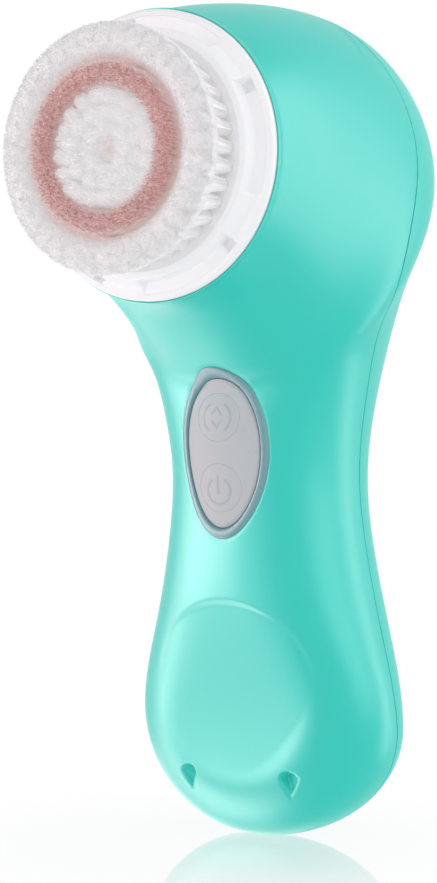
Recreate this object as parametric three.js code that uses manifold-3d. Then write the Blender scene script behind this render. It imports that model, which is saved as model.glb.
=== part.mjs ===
// Facial cleansing brush: a palm-sized waterproof handle whose bent head carries a push-on bristle
// brush.  A motor in the head swings the inner bristle group to and fro inside the still outer ring.
//
// Frame: millimetres, +Z up along the handle, the brush faces -Y, the body is mirrored about X = 0.
// The origin is under the middle of the object's box.  Inside the root group everything is laid out
// from the handle's own axis, and "head" is a group whose local +Y runs out along the brush axis.
import * as THREE from "three";
import { mergeVertices } from "three/addons/utils/BufferGeometryUtils.js";
import Module from "manifold-3d";

const wasm = await Module();
wasm.setup();

// ---------------------------------------------------------------- driving dimensions
const clearance = 0.3; // between pieces that touch
const closeFit = 0.15; // between round pieces that run in one another

// How finely the body is faceted: rings between stations, rings on the bottom cap, points around.
const outerGrid = [3, 4, 26];
const innerGrid = [2, 3, 16];

// Brush axis, and the seat that the brush head rests on; depths s are counted out of the seat.
const axisZ = 118.65;
const seatY = -38.1;
const rim = { radius: 24.6, lip: 0.5 }; // edge that the brush head's collar lies against
const rimY = seatY + rim.lip;

// Body surface: each station is a section through a front and a rear rail point [depth, height], with
// half its width and the power of its outline.  Heights from the rim to the neck are counted from the
// brush axis, and in the palm from the bottom; how much wider a head station is than the rim, by wider.
const headStations = [
  { front: [rimY, -rim.radius], rear: [rimY, rim.radius], wider: 0, power: 2.0 },
  { front: [-30.6, -27.35], rear: [-19.2, 28.55], wider: 1.4, power: 2.1 },
  { front: [-21.7, -34.35], rear: [10.5, 28.25], wider: 2.9, power: 2.15 },
  { front: [-18.2, -38.25], rear: [26.4, 13.55], wider: 3.2, power: 2.2 },
  { front: [-17.9, -42.95], rear: [25.0, -5.65], wider: -1.5, power: 2.2 },
  { front: [-17.5, -51.65], rear: [18.2, -34.65], wider: -6.1, power: 2.2 },
  { front: [-17.2, -60.65], rear: [15.2, -58.15], wider: -6.9, power: 2.2 },
];
const palmStations = [
  { front: [-17.2, 42.0], rear: [17.2, 37.6], half: 21.1, power: 2.2 },
  { front: [-15.3, 25.0], rear: [14.8, 17.2], half: 25.0, power: 2.3 },
];
const bottom = { poleY: -3.0, frontPower: 1.96, rearPower: 1.97, sidePower: 2.14 };
const wall = 2.2; // moulded shell
// Parting line of the two shells, seen from the side as [depth, height], with heights as above.
const palmParting = [
  [2.0, -6.0],
  [2.0, 13.0],
  [0.6, 26.0],
  [1.5, 45.0],
];
const headParting = [
  [1.0, -56.65],
  [0.2, -38.65],
  [-2.2, -23.65],
  [0.8, -8.65],
  [4.6, 5.35],
  [2.6, 21.35],
  [-3.0, 37.35],
];
const seamGap = 0.3;
const gasket = { depth: 0.9, halfWidth: 1.2 };

// Brush head: a collar with its ring of tufts, and the inner brush that swings inside it.
const collarSize = { radius: 24.75, land: 2.45, cone: 1.4, lipWall: 1.1, tuftLand: 4.1 }; // edge inwards
const collarHeight = { edge: 2.2, chamfer: 0.6, step: 0.4, top: 5.0 };
const tuftFloor = 3.4;
const pocket = { count: 5, arc: 51, start: -20, width: 2.3, floor: 2.15 }; // arcs in degrees
const slot = { from: 0.2, to: 1.7, floor: 1.2, start: 5.2, end: 1.7 }; // at the end of a pocket
const plateGap = 0.4; // between the collar's bore and the inner brush
const flangeLap = 1.3; // how far the inner brush's flange reaches behind the collar
const socket = { flange: 1.4, boss: 7.0, depth: 4.2 };
const backing = { thick: 0.7, margin: 0.7 }; // moulded slice that holds the tufts
const strand = { foot: 0.34, end: 0.24, apart: 0.42, root: 0.3, uneven: 0.3 };
// Tuft rings: how far each lies inside the collar's lip or the inner brush's edge, and its strands.
const outerTufts = { inset: 1.6, tufts: 41, tip: 15.0, lean: 1.5, spread: 1.5, hairs: 2 };
const pinkTufts = { inset: 3.2, tufts: 30, tip: 17.2, lean: 0, spread: 2.0, hairs: 3 };
const centreTufts = [
  { inset: 6.6, tufts: 21, tip: 17.4, lean: -0.1, spread: 1.9, hairs: 3 },
  { inset: 9.3, tufts: 14, tip: 17.4, lean: 0, spread: 1.8, hairs: 3, phase: 0.5 },
  { inset: 11.9, tufts: 8, tip: 17.4, lean: 0.1, spread: 1.7, hairs: 3 },
];
const pinkBand = { outer: 1.3, inner: 4.9 }; // inside the inner brush's edge

// The plug behind the collar, and the well that takes it.
const well = { radius: 22.0, depth: 7.0, floor: 3.0 };
const keyways = { count: 3, start: 90, reach: 23.3, width: 5.0, depth: 5.8 };
const hubPocket = { radius: 9.0, below: 2.2 };
const plug = { fit: 0.4, depth: 5.6, web: 1.5, rim: 2.0 };
const oRing = { middle: 3.95, radius: 0.5, grooveHalf: 0.65, grooveDepth: 0.9, gap: 0.2 };
const boss = { height: 2.5, radius: 11.5, screwRadius: 3.0 };
const sealBore = 6.0;
const beyond = 80; // further out than anything, for cutters
const overcut = 0.2; // how far a cutter or a root runs past the face that it meets

// Drive: dogs on a hub turn the inner brush; the shaft runs in two bearings behind the well.
const dog = { count: 3, inner: 2.6, outer: 5.6, arc: 26, reach: 1.3, room: 0.35 };
const hub = { gap: 0.4, cap: 0.4, room: 1.0, end: 0.5 };
const shaftSize = { radius: 2.5, tail: 3.3, groove: 1.6, grooveHalf: 0.75, grooveDepth: 0.5 };
const retainer = { outer: 4.2, half: 0.45 };
const bearing = { radius: 6.0, length: 4.7, lip: 0.2, tube: 8.4 };
const chassisSize = { plate: 2.5, between: 19.6, inside: 15.6, rail: 2.0, top: 13.6 };
const ledge = { inner: 11.0, thick: 2.4 }; // shelves on the rails that carry the core
const shoulder = { half: 12.0, rise: 7.0 }; // sloped top of the chassis plates
const plateWindow = { inner: 10.5, outer: 14.8, from: 105, to: 255 };
const screwSpots = [
  [11.5, 16.5],
  [-11.5, 16.5],
  [-11.5, -16.5],
  [11.5, -16.5],
];
const screwSize = { shank: 1.1, head: 2.6, thick: 1.8, bite: 3.8, pilotFit: 0.25, holeFit: 0.5 };
// Motor: magnets on an arm below the shaft, over the poles of a wound core.
const armature = { setback: 8.8, arm: 2.5, hubRadius: 5.4, hubHalf: 4.5, inner: 3.5, arc: 34 };
const magnet = { inner: 13.7, outer: 16.4, from: 4, to: 33, half: 4.5 };
const core = { airGap: 1.1, leg: 6.2, yoke: 4.0, half: 4.0, pole: 3.0, sideLegs: [8.5, 12.5] };
const winding = { halfX: 8.0, halfY: 8.3, corner: 3.2, height: 4.9, lift: 0.4 };

// Key pad in the neck
const eggCentre = axisZ - 49.95;
const eggSkew = 0.1; // the egg is wider above its middle
const bezelEgg = { half: 8.75, tall: 15.0 };
const padEgg = { half: 7.25, tall: 13.0 };
const recessFloor = 2.9; // behind the body's surface
const recessWall = 1.9; // material left round the recess
const padBack = 2.3; // back of the pad and the bezel, behind the body's surface
const dome = { rim: 0.2, edge: 0.25, middle: 0.85, key: 0.3 };
const keys = [
  { name: "speed_button", z: eggCentre + 6.3 },
  { name: "power_button", z: eggCentre - 6.0 },
];
const keySize = { radius: 4.1, stem: 1.9, stemFit: 0.4, travelRoom: 1.0, switchGap: 0.5 };

// Flat face for the charger, low on the front
const face = { top: [-16.4, 42.7], slope: 0.2, flatTo: 24.0, low: -12.4, ease: 7.0, margin: 8.0 };
const faceOval = { z: 27.6, half: 16.4, tall: 15.1, stretch: 1.35 };
const notch = { x: 10.6, z: 11.9, radius: 1.45, tip: 3.9, floor: -10.9 };

// Electronics
const board = { front: -8.3, thick: 1.2, half: 11.0, low: 38.0, high: axisZ - 30.65, corner: 3.0 };
const boardScrew = { shank: 1.0, head: 2.0, thick: 1.4, low: 6.5, high: 3.0, bite: 1.9, fit: 0.2 };
const switchSize = { half: 3.1, height: 3.2, plunger: 0.9, plungerRadius: 1.6 };
const stemGuide = 1.2; // from a switch to the housing's block behind the keys
const lamp = { half: 1.6, low: -0.7, high: 1.1, thick: 1.2 };
const chip = { half: 4.0, tall: 7.0, below: 3.6, thick: 1.6 }; // below the power switch
const cell = { radius: 7.0, length: 50.0, low: 22.4 };
const cradleSize = { plate: 2.5, half: 8.5, root: 0.5, wall: 1.5, end: 1.7, endGap: 0.5, front: -6.0 };
const wireNotch = { from: 9.0, to: 12.0, depth: 2.0 };
const coil = { outer: 11.0, inner: 5.0, thick: 1.5, z: 30.0 };
const shield = { thick: 0.8, lap: 0.5 };

// ---------------------------------------------------------------- places worked out from them
const fromAxis = ([depth, height]) => [depth, axisZ + height];
const stations = [
  ...headStations.map(({ front, rear, wider, power }) => ({
    front: fromAxis(front),
    rear: fromAxis(rear),
    half: rim.radius + wider,
    power,
  })),
  ...palmStations,
];
const partingLine = [...palmParting, ...headParting.map(fromAxis)];
const shoulderRadius = collarSize.radius - collarSize.land;
const ridgeRadius = shoulderRadius - collarSize.cone;
const collarInside = ridgeRadius - collarSize.lipWall;
const collarBore = collarInside - collarSize.tuftLand;
const plateRadius = collarBore - plateGap;
const floorBack = well.depth + well.floor; // inner side of the well's floor, out of the seat
const hubPocketBack = well.depth + hubPocket.below;
const bossBack = floorBack + boss.height;
const socketFlange = collarBore + flangeLap;
const backingBottom = tuftFloor + clearance;
const backingTop = backingBottom + backing.thick;
const screwTip = screwSize.bite - bossBack;
const flangeFront = seatY + bossBack + clearance; // the chassis's front plate lies on the bosses
const flangeBack = flangeFront + chassisSize.plate;
const rearFront = flangeBack + chassisSize.between;
const rearBack = rearFront + chassisSize.plate;
const armatureY = rearFront - armature.setback;
const legTop = axisZ - magnet.outer - core.airGap;
const ironTop = legTop - core.leg;
const ironLow = ironTop - core.yoke;
const chassisLow = ironLow - clearance - ledge.thick;
const chassisHigh = axisZ + chassisSize.top;
const switchTop = board.front - clearance - switchSize.height;
const guideBack = switchTop - stemGuide;
const boardBack = board.front + board.thick;
const cradleFront = boardBack + clearance;
const cradleBack = cradleFront + cradleSize.plate;
const troughRadius = cell.radius + clearance + cradleSize.wall;
const cellY = cradleBack - cradleSize.root + troughRadius;
const cellHigh = cell.low + cell.length;

// ---------------------------------------------------------------- small geometry kit
const materials = {
  shell: [0x56d8c9, 0.28, 0],
  gasket: [0x1f6f68, 0.6, 0],
  bezel: [0x6f979c, 0.2, 0],
  pad: [0xbebec1, 0.5, 0],
  collar: [0xf4f3f2, 0.35, 0],
  bristleWhite: [0xf7f5f2, 0.6, 0],
  bristlePink: [0xc98481, 0.6, 0],
  steel: [0xb8bcc0, 0.3, 1],
  magnet: [0x8f9296, 0.35, 1],
  iron: [0x5b5f64, 0.5, 1],
  copper: [0xb56b3a, 0.4, 1],
  plastic: [0x2f3236, 0.6, 0],
  rubber: [0x26282a, 0.8, 0],
  board: [0x1e5a3a, 0.55, 0],
  cell: [0x3d6fb0, 0.45, 0],
  ferrite: [0x3a3a3c, 0.85, 0],
  lamp: [0xf2f2e6, 0.3, 0],
};

// Turns a geometry inside out when its signed volume is negative.
function facingOut(geometry) {
  const p = geometry.attributes.position;
  const index = geometry.index.array;
  const [a, b, c] = [new THREE.Vector3(), new THREE.Vector3(), new THREE.Vector3()];
  let volume = 0;
  for (let i = 0; i < index.length; i += 3) {
    a.fromBufferAttribute(p, index[i]);
    b.fromBufferAttribute(p, index[i + 1]);
    c.fromBufferAttribute(p, index[i + 2]);
    volume += a.dot(b.cross(c));
  }
  if (volume < 0) {
    for (let i = 0; i < index.length; i += 3) {
      [index[i + 1], index[i + 2]] = [index[i + 2], index[i + 1]];
    }
  }
  return geometry;
}

// A closed three.js geometry as a solid that can be joined and cut.
function solid(geometry) {
  const bare = geometry.clone();
  bare.deleteAttribute("normal");
  bare.deleteAttribute("uv");
  const merged = facingOut(mergeVertices(bare, 1e-4));
  return new wasm.Manifold(
    new wasm.Mesh({
      numProp: 3,
      vertProperties: new Float32Array(merged.attributes.position.array),
      triVerts: new Uint32Array(merged.index.array),
    }),
  );
}

function geometryOf(made) {
  const mesh = made.getMesh();
  const geometry = new THREE.BufferGeometry();
  geometry.setAttribute("position", new THREE.BufferAttribute(mesh.vertProperties, 3));
  geometry.setIndex(new THREE.BufferAttribute(mesh.triVerts, 1));
  geometry.computeVertexNormals();
  return geometry;
}

const join = (...solids) => solids.reduce((all, next) => all.add(next));
const cut = (from, ...tools) => tools.reduce((left, tool) => left.subtract(tool), from);

// Rings of equal count, skinned one to the next.  Open rows get a fan at each end.
function skinned(rings, closedRow = false) {
  const count = rings[0].length;
  const points = rings.flat();
  const faces = [];
  const rows = closedRow ? rings.length : rings.length - 1;
  for (let r = 0; r < rows; r++) {
    const next = (r + 1) % rings.length;
    for (let i = 0; i < count; i++) {
      const j = (i + 1) % count;
      const [a, b, c, d] = [r * count + i, r * count + j, next * count + j, next * count + i];
      faces.push(a, b, c, a, c, d);
    }
  }
  if (!closedRow) {
    for (const [r, turn] of [
      [0, -1],
      [rings.length - 1, 1],
    ]) {
      if (count === 3) {
        faces.push(r * 3 + 1 - turn, r * 3 + 1, r * 3 + 1 + turn);
        continue;
      }
      const middle = rings[r].reduce((sum, p) => sum.add(p), new THREE.Vector3());
      points.push(middle.divideScalar(count));
      for (let i = 0; i < count; i++) {
        const [a, b] = [r * count + i, r * count + ((i + 1) % count)];
        if (turn > 0) faces.push(a, b, points.length - 1);
        else faces.push(b, a, points.length - 1);
      }
    }
  }
  const geometry = new THREE.BufferGeometry().setFromPoints(points);
  geometry.setIndex(faces);
  return geometry;
}

// Solid of revolution about the local Y axis from [radius, height] points that close on themselves.
function turned(profile, segments = 48) {
  const closed = [...profile, profile[0]].map(([r, s]) => new THREE.Vector2(r, s));
  return solid(new THREE.LatheGeometry(closed, segments));
}

// A plain round bar or disc about the local Y axis.
function disc(radius, from, to, segments = 32) {
  const profile = [
    [0, from],
    [radius, from],
    [radius, to],
    [0, to],
  ].map(([r, s]) => new THREE.Vector2(r, s));
  return solid(new THREE.LatheGeometry(profile, segments));
}

const ring = (inner, outer, from, to, segments = 48) =>
  turned(
    [
      [inner, from],
      [outer, from],
      [outer, to],
      [inner, to],
    ],
    segments,
  );

function block([x0, x1], [y0, y1], [z0, z1]) {
  const box = new THREE.BoxGeometry(x1 - x0, y1 - y0, z1 - z0);
  return solid(box.translate((x0 + x1) / 2, (y0 + y1) / 2, (z0 + z1) / 2));
}

function extruded(outline, depth, holes = []) {
  const shape = new THREE.Shape(outline.map(([a, b]) => new THREE.Vector2(a, b)));
  for (const hole of holes) {
    shape.holes.push(new THREE.Path(hole.map(([a, b]) => new THREE.Vector2(a, b))));
  }
  return new THREE.ExtrudeGeometry(shape, { depth, bevelEnabled: false, curveSegments: 12 });
}

const unitX = new THREE.Vector3(1, 0, 0);
const unitY = new THREE.Vector3(0, 1, 0);
const unitZ = new THREE.Vector3(0, 0, 1);

// Outline of [depth, height] points, extruded along X between two places.
function alongX(outline, from, to) {
  const turn = new THREE.Matrix4().makeBasis(unitY, unitZ, unitX);
  return solid(extruded(outline, to - from).applyMatrix4(turn).translate(from, 0, 0));
}

// Outline of [x, height] points, extruded along Y between two places.
function alongY(outline, from, to, holes = []) {
  const turn = new THREE.Matrix4().makeBasis(unitX, unitZ, unitY.clone().negate());
  return solid(extruded(outline, to - from, holes).applyMatrix4(turn).translate(0, to, 0));
}

const circle = (x, z, radius, count = 24) =>
  Array.from({ length: count }, (_, i) => {
    const t = (2 * Math.PI * i) / count;
    return [x + radius * Math.cos(t), z + radius * Math.sin(t)];
  });

// A piece of a flat ring between two angles, in degrees from the second axis downwards.
function fan(inner, outer, from, to, steps = 8) {
  const arc = (radius, a, b) =>
    Array.from({ length: steps + 1 }, (_, i) => {
      const t = THREE.MathUtils.degToRad(a + ((b - a) * i) / steps);
      return [radius * Math.sin(t), -radius * Math.cos(t)];
    });
  return [...arc(outer, from, to), ...arc(inner, to, from)];
}

// ---------------------------------------------------------------- body surface
// Smooth curve through one number per station; the last station has no slope where it is flat.
function smooth(values, flatEnd) {
  const n = values.length;
  const [low, main, high, right] = [[], [], [], []];
  for (let i = 0; i < n; i++) {
    const inside = i > 0 && i < n - 1;
    low[i] = inside ? 1 : i ? (flatEnd ? 0 : 1) : 0;
    main[i] = inside ? 4 : i ? (flatEnd ? 1 : 2) : 2;
    high[i] = inside || i === 0 ? 1 : 0;
    if (inside) right[i] = 3 * (values[i + 1] - values[i - 1]);
    else if (i) right[i] = flatEnd ? 0 : 3 * (values[i] - values[i - 1]);
    else right[i] = 3 * (values[1] - values[0]);
  }
  for (let i = 1; i < n; i++) {
    const ratio = low[i] / main[i - 1];
    main[i] -= ratio * high[i - 1];
    right[i] -= ratio * right[i - 1];
  }
  const slope = [];
  for (let i = n - 1; i >= 0; i--) {
    slope[i] = (right[i] - (i < n - 1 ? high[i] * slope[i + 1] : 0)) / main[i];
  }
  return (u) => {
    const i = Math.min(Math.floor(u), n - 2);
    const t = u - i;
    const [t2, t3] = [t * t, t * t * t];
    return (
      (2 * t3 - 3 * t2 + 1) * values[i] +
      (t3 - 2 * t2 + t) * slope[i] +
      (-2 * t3 + 3 * t2) * values[i + 1] +
      (t3 - t2) * slope[i + 1]
    );
  };
}

const lastStation = stations.length - 1;
const rail = {
  frontY: smooth(stations.map((s) => s.front[0]), true),
  frontZ: smooth(stations.map((s) => s.front[1]), false),
  rearY: smooth(stations.map((s) => s.rear[0]), true),
  rearZ: smooth(stations.map((s) => s.rear[1]), false),
  half: smooth(stations.map((s) => s.half), true),
  power: smooth(stations.map((s) => s.power), true),
};

// Section at u: stations from 0 to 8, then the bottom cap from 8 to 9.
function sectionAt(u) {
  if (u <= lastStation) {
    return Object.fromEntries(Object.entries(rail).map(([key, curve]) => [key, curve(u)]));
  }
  const end = sectionAt(lastStation);
  const turn = ((u - lastStation) * Math.PI) / 2;
  const inwards = (power) => Math.cos(turn) ** (2 / power);
  const down = (power) => 1 - Math.sin(turn) ** (2 / power);
  return {
    frontY: bottom.poleY + (end.frontY - bottom.poleY) * inwards(bottom.frontPower),
    frontZ: end.frontZ * down(bottom.frontPower),
    rearY: bottom.poleY + (end.rearY - bottom.poleY) * inwards(bottom.rearPower),
    rearZ: end.rearZ * down(bottom.rearPower),
    half: end.half * inwards(bottom.sidePower),
    power: end.power,
  };
}

const signedPower = (value, power) => Math.sign(value) * Math.abs(value) ** power;

function skinPoint(u, v) {
  const s = sectionAt(u);
  const across = signedPower(Math.cos(v), 2 / s.power);
  const along = (1 + signedPower(Math.sin(v), 2 / s.power)) / 2;
  return new THREE.Vector3(
    s.half * across,
    s.frontY + (s.rearY - s.frontY) * along,
    s.frontZ + (s.rearZ - s.frontZ) * along,
  );
}

// The same point moved inwards along the surface's normal.
function insetPoint(u, v, inset) {
  const point = skinPoint(u, v);
  if (!inset) return point;
  const [du, dv] = [0.01, 0.02];
  const alongU = skinPoint(Math.min(u + du, lastStation + 0.999), v).sub(skinPoint(Math.max(u - du, 0), v));
  const alongV = skinPoint(u, v + dv).sub(skinPoint(u, v - dv));
  return point.addScaledVector(alongU.cross(alongV).normalize(), -inset);
}

// Stations close together on the cap, so that its curve keeps its shape.
function bodyRings(inset, perStation, capRings, around) {
  const steps = [];
  for (let i = 0; i < lastStation * perStation; i++) steps.push(i / perStation);
  for (let i = 0; i < capRings; i++) steps.push(lastStation + i / capRings);
  steps.push(lastStation + 0.985);
  return steps.map((u) =>
    Array.from({ length: around }, (_, i) => insetPoint(u, (2 * Math.PI * i) / around, inset)),
  );
}

// Rounded lip in front of the first ring, shrinking towards the brush axis.
function lipRings(first, steps = 2) {
  const centre = new THREE.Vector3(0, 0, axisZ);
  return Array.from({ length: steps }, (_, i) => {
    const turn = ((steps - i) / steps) * (Math.PI / 2);
    return first.map((p) => {
      const flat = new THREE.Vector3(p.x, 0, p.z).sub(centre);
      flat.setLength(flat.length() - rim.lip * (1 - Math.cos(turn))).add(centre);
      return flat.setY(p.y - rim.lip * Math.sin(turn));
    });
  });
}

function bodySolid(inset, grid = innerGrid) {
  const rings = bodyRings(inset, ...grid);
  return solid(skinned(inset ? rings : [...lipRings(rings[0]), ...rings]));
}

// Depth of the front surface at a place seen from the front.
function frontDepth(x, z) {
  let [high, low] = [2, lastStation];
  let depth = 0;
  for (let i = 0; i < 40; i++) {
    const u = (high + low) / 2;
    const s = sectionAt(u);
    const along = (1 - Math.max(1 - Math.abs(x / s.half) ** s.power, 0) ** (1 / s.power)) / 2;
    depth = s.frontY + (s.rearY - s.frontY) * along;
    if (s.frontZ + (s.rearZ - s.frontZ) * along > z) high = u;
    else low = u;
  }
  return depth;
}

// ---------------------------------------------------------------- frame of the head
const root = new THREE.Group();
const handle = new THREE.Group();
const head = new THREE.Group();
head.position.set(0, seatY, axisZ);
head.rotation.z = Math.PI;
head.updateMatrix();
handle.add(head);
root.add(handle);

function piece(group, name, finish, made) {
  const [color, roughness, metalness] = materials[finish];
  const material = new THREE.MeshStandardMaterial({ color, roughness, metalness });
  const mesh = new THREE.Mesh(geometryOf(made), material);
  mesh.name = name;
  group.add(mesh);
  return mesh;
}

// A solid made in the head's frame, placed in the handle's frame for joining and cutting.
const inHandle = (made) => solid(geometryOf(made).applyMatrix4(head.matrix));

// The way back: depth y in the handle's frame as a distance out of the seat.
const out = (y) => seatY - y;

// ---------------------------------------------------------------- shells
const partingCurve = smooth(partingLine.map(([y]) => y), false);
const partingHeight = smooth(partingLine.map(([, z]) => z), false);

// Everything in front of the parting surface, moved along Y by shift, as far as reach.
function ahead(shift, reach) {
  const steps = 16;
  const edge = Array.from({ length: steps + 1 }, (_, i) => {
    const u = (i / steps) * (partingLine.length - 1);
    return [partingCurve(u) + shift, partingHeight(u)];
  });
  return alongX([...edge, [reach, edge[steps][1]], [reach, edge[0][1]]], -beyond, beyond);
}

// Side profile of the charger face: flat, then easing to upright where it runs out at the bottom.
function faceProfile(back) {
  const { top, slope, flatTo, low, ease, margin } = face;
  const flatY = top[0] + slope * (top[1] - flatTo);
  const eased = Array.from({ length: 5 }, (_, i) => {
    const t = i / 4;
    return [flatY + (low - flatY) * (2 * t - t * t) + back, flatTo - ease * t];
  });
  const above = top[1] + margin;
  return [
    [top[0] - slope * margin + back, above],
    ...eased,
    [low + back, -margin],
    [-beyond, -margin],
    [-beyond, above],
  ];
}

function faceCutter() {
  const count = 24;
  const oval = Array.from({ length: count }, (_, i) => {
    const t = (2 * Math.PI * i) / count;
    const stretch = Math.sin(t) < 0 ? faceOval.stretch : 1; // open below, where the flat runs out
    return [faceOval.half * Math.cos(t), faceOval.z + faceOval.tall * stretch * Math.sin(t)];
  });
  return alongX(faceProfile(0), -beyond, beyond).intersect(alongY(oval, -beyond, 0));
}

// Teardrop with a round top and a pointed foot.
function notchCutter(side) {
  const count = 15;
  const round = Array.from({ length: count }, (_, i) => {
    const t = THREE.MathUtils.degToRad(-35 + (250 * i) / (count - 1));
    return [side * notch.x + notch.radius * Math.cos(t), notch.z + notch.radius * Math.sin(t)];
  });
  return alongY([...round, [side * notch.x, notch.z - notch.tip]], -beyond, notch.floor);
}

// One copy for each turn about the head's axis.
const around = (count, made, start = 0) =>
  Array.from({ length: count }, (_, i) => made.rotate([0, (360 * i) / count + start, 0]));

function wellCutter() {
  const { reach, depth, width } = keyways;
  const keyway = block([0, reach], [-depth, overcut], [-width / 2, width / 2]);
  return inHandle(
    join(
      disc(well.radius, -well.depth, overcut, 36),
      disc(hubPocket.radius, -hubPocketBack, overcut - well.depth, 24),
      disc(sealBore, -bossBack - overcut, overcut - hubPocketBack, 20),
      ...around(keyways.count, keyway, keyways.start),
    ),
  );
}

const egg = ({ half, tall }, grow = 0, count = 26) =>
  Array.from({ length: count }, (_, i) => {
    const t = (2 * Math.PI * i) / count;
    const x = (half + grow) * Math.sin(t) * (1 + eggSkew * Math.cos(t));
    return [x, eggCentre + (tall + grow) * Math.cos(t)];
  });

// Disc over an egg that follows the body's front surface; front(k) is its depth there, from k = 1 at
// the edge to 0 in the middle, and back is the depth of its back.
function eggSkin(outline, front, back, rings = 4) {
  const place = (scale, depth) =>
    outline.map(([x, z]) => {
      const [sx, sz] = [x * scale, eggCentre + (z - eggCentre) * scale];
      return new THREE.Vector3(sx, frontDepth(sx, sz) + depth, sz);
    });
  const innermost = 0.06;
  const scales = Array.from({ length: rings }, (_, i) => 1 - (i * (1 - innermost)) / (rings - 1));
  return [
    ...scales.toReversed().map((k) => place(k, back)),
    ...scales.map((k) => place(k, front(k))),
  ];
}

const outerBody = bodySolid(0, outerGrid);
const innerBody = bodySolid(wall);

// Hollow of the housing, kept clear of the well floor and of the flat face's wall.
function cavity() {
  const behindFloor = block([-beyond, beyond], [seatY + floorBack, beyond], [-beyond, 3 * beyond]);
  return cut(innerBody.intersect(behindFloor), alongX(faceProfile(wall), -beyond, beyond));
}

function frontHousing(hollow) {
  const { radius, screwRadius } = boss;
  const toFloor = overcut - floorBack;
  const screwBoss = disc(screwRadius, -bossBack, toFloor, 12);
  const pilotRadius = screwSize.shank + screwSize.pilotFit;
  const pilot = disc(pilotRadius, -bossBack - overcut, screwTip + screwSize.holeFit, 8);
  const atScrews = (made) => screwSpots.map(([x, z]) => made.translate([x, 0, z]));
  const bosses = inHandle(join(disc(radius, -bossBack, toFloor, 24), ...atScrews(screwBoss)));
  const guide = alongY(egg(bezelEgg, recessWall), -beyond, guideBack).intersect(outerBody);
  const front = join(cut(outerBody, hollow), bosses, guide).intersect(ahead(-seamGap / 2, -beyond));
  const stemHole = keySize.stem + keySize.stemFit;
  return cut(
    front,
    wellCutter(),
    inHandle(join(...atScrews(pilot))),
    faceCutter(),
    notchCutter(1),
    notchCutter(-1),
    solid(skinned(eggSkin(egg(bezelEgg, closeFit), () => -recessFloor, recessFloor, 6))),
    ...keys.map(({ z }) => alongY(circle(0, z, stemHole, 12), -beyond, guideBack + overcut)),
  );
}

// The gasket lies along the seam on the inside, where the two shells meet.
const seamBand = (inset, depth, halfWidth) =>
  cut(bodySolid(inset), bodySolid(inset + depth))
    .intersect(ahead(halfWidth, -beyond))
    .subtract(ahead(-halfWidth, -beyond));

function shells() {
  const hollow = cavity();
  const rear = cut(outerBody, hollow).intersect(ahead(seamGap / 2, beyond));
  piece(handle, "front_housing", "shell", frontHousing(hollow));
  piece(handle, "rear_housing", "shell", rear);
  piece(handle, "housing_seal", "gasket", seamBand(wall + clearance, gasket.depth, gasket.halfWidth));
}

// ---------------------------------------------------------------- key pad
// Share of the way from the pad's middle to its edge.
const eggNorm = (x, z) => {
  const rise = (z - eggCentre) / padEgg.tall;
  return Math.hypot(x / (padEgg.half * (1 + eggSkew * rise)), rise);
};

// How far the pad stands out of the body, from k = 0 in its middle to 1 at its edge.
const padRise = (k) => dome.edge + dome.middle * (1 - k * k);

// Ring between the pad and the body: its section goes from the outer edge, 0, to the inner one, 1.
function bezel() {
  const section = [
    [0, padBack],
    [0, -0.05],
    [0.2, -0.4],
    [0.75, -0.45],
    [1, -0.1],
    [1, padBack],
  ];
  const inner = egg(padEgg, closeFit);
  const outer = egg(bezelEgg);
  const rings = section.map(([across, depth]) =>
    outer.map(([x, z], i) => {
      const px = x + (inner[i][0] - x) * across;
      const pz = z + (inner[i][1] - z) * across;
      return new THREE.Vector3(px, frontDepth(px, pz) + depth, pz);
    }),
  );
  piece(handle, "button_bezel", "bezel", solid(skinned(rings, true)));
}

function pad() {
  const front = (k) => (k === 1 ? -dome.rim : -padRise(k));
  const whole = solid(skinned(eggSkin(egg(padEgg), front, padBack)));
  const holes = keys.map(({ z }) => alongY(circle(0, z, keySize.radius + clearance, 20), -beyond, 0));
  piece(handle, "button_pad", "pad", cut(whole, ...holes));
}

// A round key with a domed front, and the stem that reaches through the housing to its switch.
function keyCap({ name, z }) {
  const { radius, stem, travelRoom, switchGap } = keySize;
  const place = (r, depthAt) =>
    circle(0, z, r, 20).map(([x, h]) => new THREE.Vector3(x, depthAt(x, h), h));
  const domed = (r) => (x, h) =>
    frontDepth(x, h) - padRise(Math.min(eggNorm(x, h), 1)) - dome.key * (1 - (r / radius) ** 2);
  const behind = recessFloor - travelRoom;
  const flat = (x, h) => frontDepth(x, h) + behind;
  const middle = 0.07 * radius;
  const rings = [
    place(middle, flat),
    place(radius, flat),
    ...[radius, 0.63 * radius, middle].map((r) => place(r, domed(r))),
  ];
  const stemBar = alongY(circle(0, z, stem), flat(0, z) - 2 * overcut, switchTop - switchGap);
  piece(handle, name, "pad", join(solid(skinned(rings)), stemBar));
}

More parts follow.
